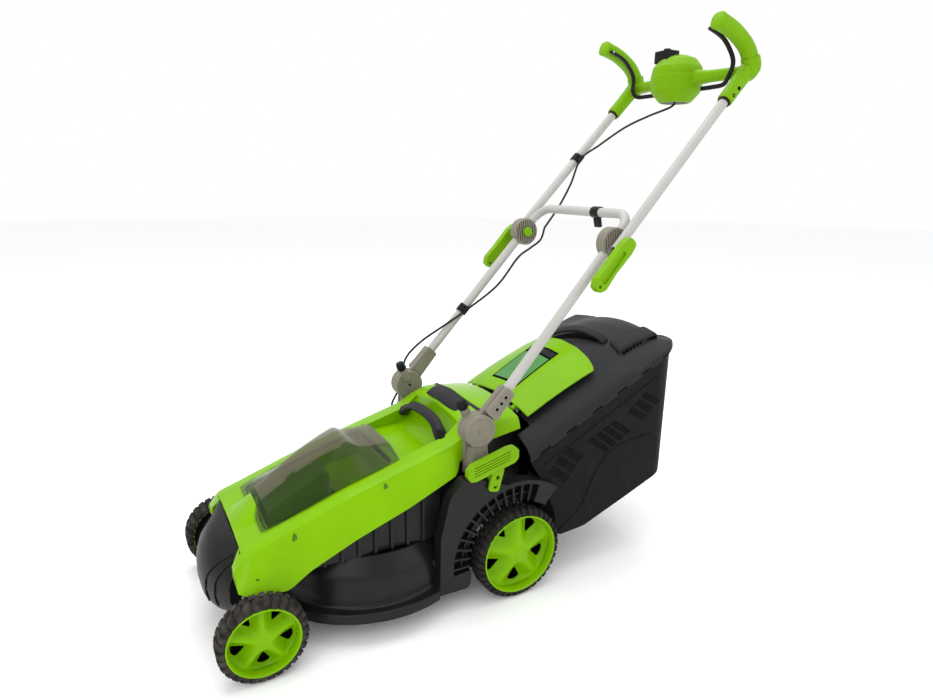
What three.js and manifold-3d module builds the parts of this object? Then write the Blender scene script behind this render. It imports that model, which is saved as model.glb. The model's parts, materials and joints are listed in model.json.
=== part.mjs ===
// A cordless push lawn mower, in millimetres.
// +X is the mower's own left, +Y runs back to the operator, +Z is up.
// Inside the model Y = 0 is the rear axle and Z = 0 the ground; the exported group is centred on its own box.
import * as THREE from "three";
import { mergeVertices } from "three/addons/utils/BufferGeometryUtils.js";
import Module from "manifold-3d";

const wasm = await Module();
wasm.setup();

// ---- driving dimensions ----
const GAP = 0.3; // between pieces that touch
const SKIN = 4; // wall of the moulded shells
const WHEELBASE = 503;
const REAR = { radius: 95, rim: 82, outer: 215, width: 44, axleY: 0 };
const FRONT = { radius: 76, rim: 62.5, outer: 220, width: 40, axleY: -WHEELBASE };
const CRANK = { length: 36, rise: 5, armIn: 148, armOut: 156, linkUp: 96 };
const AXLE_R = 6;
const SHAFT_R = 8;
const BLADE_TOP = 66;
const WHEEL_SIDES = 28;
const DECK = { y: -254, radius: 221, bottom: 45, ledge: 63, wall: 200, rim: 150, floor: 138 };
const COVER_FRONT = -515; // where the green top meets the nose
const FOLD = { y: -79, z: 359, radius: 32 }; // lower handle pivot
const LOWER_ANGLE = THREE.MathUtils.degToRad(47.8);
const LOWER_LENGTH = 459; // lower pivot to the middle pivot
const CROSSBAR_RISE = 73; // middle pivot to the crossbar, along the tube
const UPPER_ANGLE = THREE.MathUtils.degToRad(46.7);
const UPPER_LENGTH = 387; // middle pivot to the mouth of the handlebar socket
const TUBE_R = 10;
const TUBE_WALL = 1.5;
const TUBE_BORE = TUBE_R + GAP + 0.1; // of the sockets that hold the tubes
const BOLT = { radius: 3.4, hole: 3.8 }; // through both handle tubes
const CABLE_R = 2.5;
const SWITCH = { y: 528, z: 1045 }; // middle of the switch housing
const CENTRE_Y = 3.5; // middle of the whole object's box, from the rear axle

// ---- colours and finishes ----
const finish = (color, roughness, metalness = 0) =>
  new THREE.MeshStandardMaterial({ color, roughness, metalness });
const LIME = finish(0x93d500, 0.25);
const LIME_SATIN = finish(0x8ccc10, 0.5);
const BLACK = finish(0x2c2c2b, 0.55);
const CHARCOAL = finish(0x4a4d50, 0.6);
const BAG_BLACK = finish(0x262622, 0.65);
const WARM_GREY = finish(0xa09a8c, 0.55);
const TUBE_GREY = finish(0xd7d4d0, 0.35, 0.3);
const STEEL = finish(0x9a9a9a, 0.35, 0.9);
const RUBBER = finish(0x1e1d1c, 0.9);
const SMOKE = finish(0x5a5a40, 0.15);

// ---- solids ----
function solid(geometry) {
  const bare = geometry.clone();
  for (const name of Object.keys(bare.attributes)) {
    if (name !== "position") bare.deleteAttribute(name);
  }
  const merged = mergeVertices(bare, 1e-3);
  const index = merged.index.array;
  const triVerts = [];
  for (let i = 0; i < index.length; i += 3) {
    const [a, b, c] = index.slice(i, i + 3);
    if (a !== b && b !== c && c !== a) triVerts.push(a, b, c);
  }
  const build = (tris) =>
    new wasm.Manifold(
      new wasm.Mesh({
        numProp: 3,
        vertProperties: merged.attributes.position.array,
        triVerts: new Uint32Array(tris),
      }),
    );
  const made = build(triVerts);
  return made.volume() < 0 ? build(triVerts.reverse()) : made; // an outline may run either way round
}

function join(first, ...others) {
  return others.reduce((whole, part) => whole.add(part), first);
}

function cut(first, ...others) {
  return others.reduce((whole, part) => whole.subtract(part), first);
}

function geometryOf(made) {
  const mesh = made.getMesh();
  const geometry = new THREE.BufferGeometry();
  geometry.setAttribute("position", new THREE.BufferAttribute(mesh.vertProperties, 3));
  geometry.setIndex(new THREE.BufferAttribute(mesh.triVerts, 1));
  geometry.computeVertexNormals();
  return geometry;
}

// A box from its lowest to its highest corner.
function block([x0, y0, z0], [x1, y1, z1]) {
  const box = new THREE.BoxGeometry(x1 - x0, y1 - y0, z1 - z0);
  box.translate((x0 + x1) / 2, (y0 + y1) / 2, (z0 + z1) / 2);
  return solid(box);
}

// A round bar between two points.
function rod(from, to, radius, sides = 12, endRadius = radius) {
  const a = new THREE.Vector3(...from);
  const b = new THREE.Vector3(...to);
  const bar = new THREE.CylinderGeometry(endRadius, radius, a.distanceTo(b), sides);
  const turn = new THREE.Quaternion().setFromUnitVectors(
    new THREE.Vector3(0, 1, 0),
    b.clone().sub(a).normalize(),
  );
  bar.applyQuaternion(turn);
  bar.translate(...a.add(b).multiplyScalar(0.5).toArray());
  return solid(bar);
}

function ball(centre, radius, across = 14) {
  const sphere = new THREE.SphereGeometry(radius, across, across / 2);
  sphere.translate(...centre);
  return solid(sphere);
}

// A side-view outline of [y, z] points, extruded from x0 to x1.
function prism(outline, x0, x1) {
  const shape = new THREE.Shape(outline.map(([y, z]) => new THREE.Vector2(y, z)));
  const slab = new THREE.ExtrudeGeometry(shape, { depth: x1 - x0, bevelEnabled: false });
  const turn = new THREE.Matrix4().makeBasis(
    new THREE.Vector3(0, 1, 0),
    new THREE.Vector3(0, 0, 1),
    new THREE.Vector3(1, 0, 0),
  );
  slab.applyMatrix4(turn);
  slab.translate(x0, 0, 0);
  return solid(slab);
}

// A turned body: profile points are [radius, distance along the axis], anticlockwise.
function turned(profile, sides, axis = "z", [x, y, z] = [0, 0, 0]) {
  const points = profile.map(([r, h]) => new THREE.Vector2(r, h));
  if (THREE.ShapeUtils.area(points) < 0) points.reverse();
  const onAxis = points[0].x === 0 && points.at(-1).x === 0;
  if (!onAxis) points.push(points[0].clone());
  const body = new THREE.LatheGeometry(points, sides);
  if (axis === "z") body.rotateX(Math.PI / 2);
  if (axis === "x") body.rotateZ(-Math.PI / 2);
  body.translate(x, y, z);
  return solid(body);
}

function roundSection(radius, sides, bore = 0) {
  const ring = (r) => Array.from({ length: sides }, (_, i) => {
    const turn = (2 * Math.PI * i) / sides;
    return new THREE.Vector2(r * Math.cos(turn), r * Math.sin(turn));
  });
  const section = new THREE.Shape(ring(radius));
  if (bore) section.holes.push(new THREE.Path(ring(bore)));
  return section;
}

// A path of straight runs, with one section at each of its points.
class Runs extends THREE.Curve {
  constructor(points) {
    super();
    this.points = points.map((p) => new THREE.Vector3(...p));
  }
  getPoint(t, target = new THREE.Vector3()) {
    const at = t * (this.points.length - 1);
    const i = Math.min(Math.floor(at), this.points.length - 2);
    return target.lerpVectors(this.points[i], this.points[i + 1], at - i);
  }
  getPointAt(t, target) {
    return this.getPoint(t, target);
  }
  getTangentAt(t, target = new THREE.Vector3()) {
    const half = 0.5 / (this.points.length - 1);
    const ahead = this.getPoint(Math.min(t + half, 1));
    return target.subVectors(ahead, this.getPoint(Math.max(t - half, 0))).normalize();
  }
}

function swept(extrudePath, steps, section) {
  return solid(new THREE.ExtrudeGeometry(section, { steps, extrudePath, bevelEnabled: false }));
}

// A round bar through points: along a smooth curve, or in straight runs.
function bent(points, radius, steps, sides = 8) {
  const curve = new THREE.CatmullRomCurve3(points.map((p) => new THREE.Vector3(...p)));
  return swept(curve, steps, roundSection(radius, sides));
}
const kinked = (points, radius, sides = 8, bore = 0) =>
  swept(new Runs(points), points.length - 1, roundSection(radius, sides, bore));

// A body skinned over rings of equal length, closed by the first and last ring.
function loft(rings) {
  const across = rings[0].length;
  const vertices = rings.flat(2);
  const index = [];
  for (let r = 0; r + 1 < rings.length; r++) {
    for (let i = 0; i < across; i++) {
      const j = (i + 1) % across;
      const [a, b] = [r * across + i, r * across + j];
      index.push(a, b, b + across, a, b + across, a + across);
    }
  }
  const last = (rings.length - 1) * across;
  for (let i = 1; i + 1 < across; i++) {
    index.push(0, i + 1, i);
    index.push(last, last + i, last + i + 1);
  }
  const skin = new THREE.BufferGeometry();
  skin.setAttribute("position", new THREE.Float32BufferAttribute(vertices, 3));
  skin.setIndex(index);
  return solid(skin);
}

// ---- places that several pieces share ----
const along = ([y, z], angle, distance) => [
  y + distance * Math.cos(angle),
  z + distance * Math.sin(angle),
];
const lowerPivot = [FOLD.y, FOLD.z];
const middlePivot = along(lowerPivot, LOWER_ANGLE, LOWER_LENGTH);
const socketMouth = along(middlePivot, UPPER_ANGLE, UPPER_LENGTH);
const rearPivot = [REAR.axleY - Math.sqrt(CRANK.length ** 2 - CRANK.rise ** 2), REAR.radius - CRANK.rise];
const frontPivot = [FRONT.axleY - Math.sqrt(CRANK.length ** 2 - CRANK.rise ** 2), FRONT.radius - CRANK.rise];
const SIDES = [
  ["left", 1],
  ["right", -1],
];
const mirrored = (made, side) => (side > 0 ? made : made.mirror([1, 0, 0]));

const mower = new THREE.Group();
mower.position.y = -CENTRE_Y;

function piece(name, made, material) {
  const mesh = new THREE.Mesh(geometryOf(made), material);
  mesh.name = name;
  mower.add(mesh);
}

// A slanted line's height at y, from two [y, z] points.
const height = ([y0, z0], [y1, z1], y) => z0 + ((z1 - z0) * (y - y0)) / (y1 - y0);

// ---- deck ----
const ARCH_X = { inner: 172, outer: 200 };
function deckShell() {
  const { radius, bottom, ledge, wall, rim, floor } = DECK;
  const volute = turned(
    [
      [radius, bottom],
      [radius, ledge],
      [wall, ledge],
      [wall - 2, 90],
      [wall - 6, 118],
      [wall - 14, 138],
      [wall - 24, rim],
      [wall - 32, rim],
      [wall - 34, floor],
      [12, floor],
      [12, floor - SKIN],
      [wall - 38, floor - SKIN],
      [wall - 20, 128],
      [wall - 8, 104],
      [wall - SKIN, ledge - SKIN],
      [radius - SKIN, ledge - SKIN],
      [radius - SKIN, bottom],
    ],
    32,
    "z",
    [0, DECK.y, 0],
  );
  const bearings = SIDES.flatMap(([, side]) => [
    mirrored(block([28, frontPivot[0] - 9, 54], [38, -445, 90]), side),
    mirrored(block([136, -100, 50], [146, rearPivot[0] + 14, 112]), side),
  ]);
  const outlet = block([-98, -190, 100], [98, -50, rim + 1]);
  const bores = [frontPivot, rearPivot].map(([y, z]) => rod([-160, y, z], [160, y, z], AXLE_R + 0.5));
  const chamber = rod([0, DECK.y, bottom - 1], [0, DECK.y, 128], wall - 12, 32);
  const archWays = SIDES.map(([, side]) =>
    mirrored(block([ARCH_X.inner - GAP, -176.5, 40], [radius + 10, 0, 160]), side));
  return cut(join(volute, ...bearings.map((b) => cut(b, chamber))), outlet, ...bores, ...archWays);
}
piece("deck_shell", deckShell(), BLACK);

// The ribbed wall between the deck's rim and the top cover, open above and below.
function motorBayWall() {
  const [front, back] = [-400, -112];
  const base = DECK.rim + GAP;
  const top = (y) => height([-411, 176], [-108, 283], y);
  const ring = [[front, base], [back, base], [back, top(back)], [front, top(front)]];
  const hollow = [[front + 3, base - 1], [back - 3, base - 1], [back - 3, 330], [front + 3, 330]];
  const ribs = [];
  for (let y = front + 16; y < back; y += 32) {
    ribs.push(block([-163, y, base], [163, y + 5, top(y) - 14]));
  }
  const chuteWay = block([-154, back - 5, 0], [154, back + 5, 250]);
  const trayWay = block([-100, front - 5, 173], [100, front + 8, 400]);
  const linkWay = block([56, front - 5, 153], [84, front + 8, 400]);
  return cut(join(prism(ring, -158, 158), ...ribs), prism(hollow, -155, 155), chuteWay, trayWay, linkWay);
}
piece("motor_bay_wall", motorBayWall(), BLACK);

// A wheel arch with open pockets between radial ribs, round a rear wheel.
function wheelArch(side) {
  const { inner, outer } = ARCH_X;
  const crown = [];
  for (let a = 100; a >= 52; a -= 8) {
    crown.push(along(rearPivot, THREE.MathUtils.degToRad(a), 152));
  }
  const outline = [
    [-173, 46], [-171, 166], [-152, 244], [-121, 275], [-84, 268], ...crown,
    [62, 180], [80, 150], [70, 120], [-60, 120], [-112, 46],
  ];
  const wheel = rod([160, REAR.axleY, REAR.radius], [210, REAR.axleY, REAR.radius], 107, 28);
  const way = block([160, -106, 30], [210, 60, REAR.radius]);
  let arch = cut(prism(outline, inner, outer), wheel, way);
  for (let a = 96; a <= 178; a += 11.5) {
    const turn = THREE.MathUtils.degToRad(a);
    const pocket = new THREE.BoxGeometry(24, a > 110 ? 32 : 24, 13);
    pocket.translate(0, 127, 0);
    pocket.rotateX(turn);
    pocket.translate(outer - 8, REAR.axleY, REAR.radius);
    arch = cut(arch, solid(pocket));
  }
  return mirrored(arch, side);
}
for (const [name, side] of SIDES) piece(`${name}_wheel_arch`, wheelArch(side), BLACK);

// The duct that takes the clippings from the blade chamber up into the grass box. Two ears on its
// top hold the rear flap's pin.
const FLAP_PIN = [60, 350];
function dischargeChute() {
  const half = 104;
  const mouth = 62;
  const outer = [
    [-190, 138.5], [-190, 160], [-62, 296], [mouth, 322], [mouth, 116], [-125, 112], [-125, 138.5],
  ];
  const inner = [
    [-186, 130], [-186, 158], [-60, 292], [mouth + 8, 319], [mouth + 8, 120], [-110, 116], [-110, 100],
  ];
  const volute = rod([0, DECK.y, 40], [0, DECK.y, DECK.rim + GAP], DECK.wall + 1, 32);
  const ear = [[46, 317], [61, 319.5], [65, 348], [60, 354], [54.5, 350]];
  const ears = SIDES.map(([, side]) => mirrored(prism(ear, 87, 92), side));
  const pinWay = rod([-100, ...FLAP_PIN], [100, ...FLAP_PIN], 3.2);
  const duct = join(prism(outer, -half, half), ...ears);
  return cut(duct, prism(inner, SKIN - half, half - SKIN), volute, pinWay);
}
piece("discharge_chute", dischargeChute(), BLACK);

// ---- top cover ----
const CREASE = [[COVER_FRONT, 194], [-324, 263], [-96, 330]];
const crease = (y) => (y < CREASE[1][0] ? height(CREASE[0], CREASE[1], y) : height(CREASE[1], CREASE[2], y));
const coverTop = (y) => crease(y) + 1;

// Half sections of the cover: y, half width and height of the crease, half width and height of the
// lower edge, height of the middle.
function coverRings(inset) {
  const stations = [
    [-531, 144, 170, 174, 148, 171],
    [COVER_FRONT, 141, 194, 176, 140, 195],
    [-448, 140, crease(-448), 176, 131, crease(-448)],
    [-446, 140, crease(-446), 175.5, 140, crease(-446)],
    [-411, 140, crease(-411), 175, 161, coverTop(-411)],
    [-324, 140, crease(-324), 175, 196, coverTop(-324)],
    [-222, 140, crease(-222), 175, 233, coverTop(-222)],
    [-114, 140, crease(-114), 172, 281, coverTop(-114)],
    [-110, 138, 327, 145, 290, 331],
    [-80, 136, 346, 144, 300, 368],
    [-45, 132, 360, 142, 318, 384],
    [38, 130, 353, 140, 330, 371],
  ];
  return stations.map(([y, halfTop, top, halfLow, low, middle], i) => {
    const back = i === stations.length - 1 ? inset : 0;
    const front = i === 0 ? inset : 0;
    const at = y + front - back;
    const under = inset ? low - 40 : low;
    return [
      [-(halfLow - inset), at, under],
      [-(halfLow - inset), at, low],
      [-(halfTop - inset), at, top - inset],
      [0, at, middle - inset],
      [halfTop - inset, at, top - inset],
      [halfLow - inset, at, low],
      [halfLow - inset, at, under],
    ];
  });
}

// The ramp in the middle of the cover's front, up to the hatch's front edge.
const RAMP = { front: COVER_FRONT + 1, back: -468.3, half: 60, topHalf: 22, low: 196, high: 233 };
const rampTop = (y) => height([RAMP.front, RAMP.low], [RAMP.back, RAMP.high], y);
function ramp(inset) {
  return loft([RAMP.front + 2 * inset, RAMP.back - inset].map((y) => {
    const [half, topHalf, base] = [RAMP.half - 2 * inset, RAMP.topHalf - inset / 2, crease(y) - 2 - inset];
    const top = rampTop(y) - inset;
    return [[-half, y, base], [-topHalf, y, top], [topHalf, y, top], [half, y, base]];
  }));
}

function topCover() {
  const outer = join(loft(coverRings(0).map((ring) => ring.slice(1, -1))), ramp(0));
  const well = prism([[-205, 286], [-130, 292], [-88, 330], [-80, 420], [-205, 420]], -98, 98);
  const wellRoom = prism([
    [-209, 200], [-209, 420], [-76, 420], [-84, 328], [-128, 288], [-205, 282],
  ], -102, 102);
  const inner = join(cut(loft(coverRings(SKIN)), wellRoom), ramp(SKIN));
  const hatchWay = block([-100, -468, 150], [100, -222, 400]);
  const noseWay = block([-118, -560, 100], [118, COVER_FRONT + 1, 250]);
  return cut(outer, inner, well, hatchWay, noseWay);
}
piece("top_cover", topCover(), LIME);

// The black nose between the cover's legs.
function frontPanel() {
  const profile = (x, inset) => {
    const sweep = 30 * (x / 118) ** 2; // the nose is rounded in plan
    const lift = 30 * (x / 118) ** 2;
    return [
      [COVER_FRONT + inset, 190 - inset],
      [-553 + sweep + inset, 176 - inset],
      [-577 + sweep + inset, 131],
      [-574 + sweep + inset, 70 + lift / 2],
      [-548 + sweep / 2 + inset, 40 + lift + inset],
      [-519 + inset, 40 + lift + inset],
    ].map(([y, z]) => [x, y, z]);
  };
  const stations = [-116, -80, -40, 0, 40, 80, 116];
  const outer = loft(stations.map((x) => profile(x, 0)));
  const inner = loft(stations.map((x) => profile(x * 0.965, SKIN)));
  return cut(outer, inner);
}
piece("front_panel", frontPanel(), BLACK);

// ---- drive ----
piece("battery_tray", cut(
  prism([[-464, 208], [-464, 184], [-325, 200], [-318, 222], [-226, 240], [-226, 286]], -96, 96),
  prism([[-461, 300], [-461, 187.4], [-327, 203], [-320, 225], [-229, 243], [-229, 300]], -93, 93),
), BLACK);
piece("battery_pack", prism([
  [-452, 216], [-452, 190.5], [-332, 204.5], [-332, 268], [-348, 274],
], -42, 42), CHARCOAL);
piece("safety_key", block([58, -300, 233.5], [78, -280, 256]), LIME_SATIN);
// An upright bar on the blade's axis.
const upright = (z0, z1, radius, sides) => rod([0, DECK.y, z0], [0, DECK.y, z1], radius, sides);
piece("motor", cut(
  join(upright(DECK.floor + GAP, 206, 52, 24), upright(DECK.floor + GAP, DECK.floor + 8, 64, 24)),
  upright(100, 180, SHAFT_R + 0.5),
), STEEL);
piece("motor_controller", block([-80, -199, 196], [80, -176, 258]), CHARCOAL);
piece("motor_shaft", join(
  upright(BLADE_TOP + GAP, 178, SHAFT_R),
  upright(BLADE_TOP + GAP, 82, 24, 16),
), STEEL);
// A flat bar with a raised sail behind each cutting edge.
function bladeShape() {
  const [half, halfWidth, sailStart] = [178, 24, 120];
  const bar = block([-half, DECK.y - halfWidth, BLADE_TOP - 4], [half, DECK.y + halfWidth, BLADE_TOP]);
  const sails = [1, -1].map((end) => {
    const [x0, x1] = [end * sailStart, end * half].sort((a, b) => a - b);
    const y = DECK.y + end * halfWidth;
    return block([x0, y - 8, 64], [x1, y + 8, 80]);
  });
  return cut(join(bar, ...sails), upright(50, 90, 6));
}
piece("blade", bladeShape(), STEEL);
piece("blade_bolt", join(upright(53, BLADE_TOP - 4.3, 13, 6), upright(58, BLADE_TOP, 5.5)), STEEL);

// ---- axles, height lever and wheels ----
// A cross shaft on its pivot line, with a crank and a stub axle at each end.
function crankAxle([pivotY, pivotZ], axleY, axleZ, armIn, armOut, stubEnd) {
  const parts = [rod([-armIn, pivotY, pivotZ], [armIn, pivotY, pivotZ], AXLE_R)];
  for (const [, side] of SIDES) {
    const plate = [Math.min(side * armIn, side * armOut), Math.max(side * armIn, side * armOut)];
    parts.push(
      rod([plate[0], pivotY, pivotZ], [plate[1], pivotY, pivotZ], 10),
      rod([plate[0], axleY, axleZ], [plate[1], axleY, axleZ], 10),
      prism([[pivotY, pivotZ - 9], [axleY, axleZ - 9], [axleY, axleZ + 9], [pivotY, pivotZ + 9]], ...plate),
      rod([side * armIn, axleY, axleZ], [side * stubEnd, axleY, axleZ], AXLE_R),
    );
  }
  return parts;
}
const linkEnd = (pivot) => [pivot[0], pivot[1] + CRANK.linkUp];
function axle(pivot, wheel, armIn, armOut) {
  const linkArm = prism([
    [pivot[0] - 8, pivot[1]],
    [pivot[0] + 8, pivot[1]],
    [pivot[0] + 4.5, pivot[1] + CRANK.linkUp + 4.5],
    [pivot[0] - 4.5, pivot[1] + CRANK.linkUp + 4.5],
  ], armIn, armOut);
  const eye = rod([armIn - 1, ...linkEnd(pivot)], [armOut + 1, ...linkEnd(pivot)], 2.6);
  const cranks = crankAxle(pivot, wheel.axleY, wheel.radius, armIn, armOut, wheel.outer - 14);
  return cut(join(...cranks, linkArm), eye);
}
piece("front_axle", axle(frontPivot, FRONT, 44, 51), STEEL);
piece("rear_axle", axle(rearPivot, REAR, CRANK.armIn, CRANK.armOut), STEEL);

// The link rod, bent inwards at both ends to hook through the cranks.
function heightLink() {
  const [fy, fz] = linkEnd(frontPivot);
  const [ry, rz] = linkEnd(rearPivot);
  return join(
    rod([55, fy, fz], [43, fy, fz], 2.2, 8),
    rod([55, fy, fz], [144, ry, rz], 3, 8),
    ball([55, fy, fz], 3.5, 8),
    rod([144, ry, rz], [157, ry, rz], 2.2, 8),
    ball([144, ry, rz], 3.5, 8),
  );
}
piece("height_link", heightLink(), STEEL);

// The ribbed grip, its tab with two holes, and the arm that reaches over the arch to the rear crank.
function heightLever() {
  const arm = prism([[-46, 196], [-30, 196], [-47, 262], [-62, 262]], CRANK.armOut + GAP, 162);
  const reach = prism([[-62, 253], [-47, 253], [-47, 262], [-62, 262]], CRANK.armOut + GAP, 208);
  const grip = prism([
    [-122, 284], [-116, 276], [-104, 275], [-20, 297], [-12, 304], [-12, 322], [-20, 330], [-36, 329], [-112, 308],
    [-121, 300],
  ], 201, 213);
  const tab = prism([[-72, 244], [-52, 240], [-38, 296], [-66, 290]], 203, 208);
  const holes = [[-58, 251], [-52, 271]].map(([y, z]) => rod([200, y, z], [212, y, z], 4.5, 12));
  const grooves = [0, 1, 2, 3].map((i) =>
    prism([
      [-108, 284 + 5.5 * i], [-30, 304.5 + 5.5 * i], [-30, 306.5 + 5.5 * i], [-108, 286 + 5.5 * i],
    ], 211, 214));
  return cut(join(arm, reach, grip, tab), ...holes, ...grooves);
}
piece("height_lever", heightLever(), LIME_SATIN);

function tyre({ radius, rim, width }) {
  const half = width / 2;
  return turned([
    [rim, -half],
    [radius - 7, -half],
    [radius, 7 - half],
    [radius, half - 7],
    [radius - 7, half],
    [rim, half],
  ], WHEEL_SIDES, "x");
}

// A five-spoke rim with a blind hub, its open side inwards.
function rim({ rim: edge, width }) {
  const half = width / 2;
  const outer = edge - GAP;
  const ring = turned([
    [outer - 5, 3 - half],
    [outer, 3 - half],
    [outer, half + 1],
    [outer - 4, half + 1],
    [outer - 7, half - 8],
  ], WHEEL_SIDES, "x");
  const hub = turned([
    [0, half - 4],
    [0, half - 12],
    [AXLE_R + 0.4, half - 12],
    [AXLE_R + 0.4, -half],
    [15, -half],
    [17, half - 10],
    [10, half - 4],
  ], 12, "x");
  const spokes = [0, 1, 2, 3, 4].map((i) => {
    const spoke = new THREE.BoxGeometry(12, outer - 14, edge / 3.4);
    spoke.translate(half - 14, 8 + (outer - 10) / 2, 0);
    spoke.rotateX((i * 2 * Math.PI) / 5);
    return solid(spoke);
  });
  return cut(join(ring, hub, ...spokes), rod([-half - 1, 0, 0], [half - 12, 0, 0], AXLE_R + 0.4));
}

for (const [end, wheel] of [["front", FRONT], ["rear", REAR]]) {
  for (const [name, side] of SIDES) {
    const middle = side * (wheel.outer - 1 - wheel.width / 2);
    const place = (made) => mirrored(made, side).translate([middle, wheel.axleY, wheel.radius]);
    piece(`${end}_${name}_tyre`, place(tyre(wheel)), RUBBER);
    piece(`${end}_${name}_rim`, place(rim(wheel)), LIME);
  }
}

// ---- covers that open ----
function batteryHatch() {
  const stations = [
    [-476, 3, 100, 9, 22],
    [-467, 2.5, 103, 24, 23],
    [-452, 2, 104, 29, 24],
    [-394, 1, 106, 48, 30],
    [-355, 1, 106, 56, 34],
    [-295, 1, 106, 60, 44],
    [-277, 1, 106, 41, 55],
    [-249, 1, 106, 31, 57],
    [-212, 2, 104, 19, 57],
  ];
  const rings = (inset) => stations.map(([y, base, halfBase, rise, halfTop], i) => {
    const at = y + (i === 0 ? inset : 0) - (i === stations.length - 1 ? inset : 0);
    const low = coverTop(y) + base - (inset ? 20 : 0);
    const high = coverTop(y) + rise - inset;
    return [
      [-(halfBase - inset), at, low],
      [-(halfBase - inset), at, coverTop(y) + base],
      [-(halfTop - inset / 2), at, high - 4],
      [0, at, high],
      [halfTop - inset / 2, at, high - 4],
      [halfBase - inset, at, coverTop(y) + base],
      [halfBase - inset, at, low],
    ];
  });
  // the front edge stands over the cover's ramp
  const [half, topHalf, base, top] = [RAMP.half + 3, RAMP.topHalf + 2, crease(RAMP.back), RAMP.high + 0.6];
  const rampWay = loft([[-500, 22], [RAMP.back + 0.8, 0], [-440, 0]].map(([y, down]) => [
    [-half, y, 150], [-half, y, base - down], [-topHalf, y, top - down],
    [topHalf, y, top - down], [half, y, base - down], [half, y, 150],
  ]));
  return cut(loft(rings(0).map((ring) => ring.slice(1, -1))), loft(rings(3)), rampWay);
}
piece("battery_hatch", batteryHatch(), SMOKE);

function rearFlap() {
  const [front, back, thick] = [61.5, 235, 4];
  const stations = [[-130, 350.5, 430], [-60, 364, 461], [0, 369, 466], [60, 364, 461], [130, 350.5, 430]];
  const plate = loft(stations.map(([x, low, high]) => [
    [x, front, low - thick], [x, back, high - thick], [x, back, high], [x, front, low],
  ]));
  const lug = [[54.5, 347], [58, 344], [64, 345.5], [69, 355], [69, 361.7], [61.8, 358.2], [54.5, 353]];
  const lugs = SIDES.map(([, side]) => mirrored(prism(lug, 74, 84), side));
  return cut(join(plate, ...lugs), rod([-140, ...FLAP_PIN], [140, ...FLAP_PIN], 3.4));
}
piece("rear_flap", rearFlap(), LIME);
piece("flap_pin", rod([-94, ...FLAP_PIN], [94, ...FLAP_PIN], 3), STEEL);

// ---- grass box ----
const boxEdge = (y) => height([33, 272], [403, 461], y);
function grassBoxLid() {
  const stations = [
    [36, 330, 322], [66, 346, 336], [235, 456, 418], [340, 494, 470], [405, 500, 478], [438, 480, 470],
  ];
  const rings = (inset) => stations.map(([y, middle, shoulder], i) => {
    const at = y + (i === 0 ? -3 * inset : 0) - (i === stations.length - 1 ? inset : 0);
    const edge = Math.min(boxEdge(y), 464);
    const low = inset ? edge - 30 : edge;
    return [
      [-(186 - inset), at, low],
      [-(186 - inset), at, edge + 10 - inset],
      [-(110 - inset / 2), at, shoulder - inset],
      [0, at, middle - inset],
      [110 - inset / 2, at, shoulder - inset],
      [186 - inset, at, edge + 10 - inset],
      [186 - inset, at, low],
    ];
  });
  const mouth = block([-134, 0, 0], [134, 66, 600]);
  return cut(loft(rings(0)), loft(rings(3)), mouth);
}
piece("grass_box_lid", grassBoxLid(), CHARCOAL);

function grassBoxBody() {
  const top = (y) => Math.min(boxEdge(y), 464) - GAP;
  const outer = [
    [38, top(38)], [66, 228], [100, 150], [110, 92], [180, 98], [290, 140], [392, 180], [412, 208], [430, 440],
    [436, top(436)], [403, top(403)],
  ];
  const inner = [
    [30, 600], [30, 232], [66, 232], [100, 152], [112, 96], [180, 101], [289, 143], [390, 183], [409, 209],
    [426, 440], [432, 600],
  ];
  const shell = cut(prism(outer, -184, 184), prism(inner, -181, 181));
  return cut(shell, block([-134, 0, 0], [134, 66, 600]), block([-130, 0, 110], [130, 110, 600]));
}
piece("grass_box_body", grassBoxBody(), BAG_BLACK);

// ---- carrying handle and name plate ----
piece("carry_handle", bent([
  [-97, -116, 320],
  [-82, -116, 321],
  [-50, -114, 339],
  [0, -112, 347],
  [50, -114, 339],
  [82, -116, 321],
  [97, -116, 320],
], 8, 12), CHARCOAL);
piece("name_plate", loft([-90, -45, 0, 45, 90].map((x) => {
  const drop = 20 * (Math.abs(x) / 130);
  const low = 368.8 - drop * 1.12;
  const high = 384.8 - drop * 1.22;
  return [[x, -76, low + 2], [x, -50, high + 1], [x, -50, high + 3], [x, -76, low + 4]];
})), CHARCOAL);

// ---- handle brackets, lock knobs and lower handle ----
const LOWER_TUBE_X = { pivot: 172, middle: 161 };
const lowerTubeX = (distance) =>
  LOWER_TUBE_X.pivot + ((LOWER_TUBE_X.middle - LOWER_TUBE_X.pivot) * distance) / LOWER_LENGTH;
const LOCK_ANGLE = THREE.MathUtils.degToRad(115);
const PIVOT_PIN = 5;
// across the joint, outwards from its inner face: the cheeks of the clevis and the disc between them
const KNUCKLE = { inner: [147, 157.5], disc: [158.5, 171.7], outer: [172, 184.5] };

// A clevis: the handle's disc turns between its cheeks on a fixed bolt.
function handleBracket(side) {
  const [y, z] = lowerPivot;
  const { radius } = FOLD;
  const [face, inner] = KNUCKLE.inner;
  const [outer, end] = KNUCKLE.outer;
  const bossAt = (distance) => [face, ...along(lowerPivot, LOCK_ANGLE, distance)];
  const made = join(
    rod([outer, y, z], [end, y, z], radius, 20),
    rod([face, y, z], [inner, y, z], radius, 20),
    rod([face, y, z], [end + 1.5, y, z], PIVOT_PIN),
    block([face, y - 20, 268], [inner, y + 20, z]),
    prism([[y - 24, 284], [y + 24, 276], [y + 18, z - 34], [y - 18, z - 34]], face, end),
    prism([[y - 18, z - 36], [y + 18, z - 36], [y + 26, z - 12], [y - 26, z - 12]], outer, end),
    rod(bossAt(14), bossAt(42), 9.5),
  );
  return mirrored(cut(made, rod(bossAt(20), bossAt(60), 4)), side);
}

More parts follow.
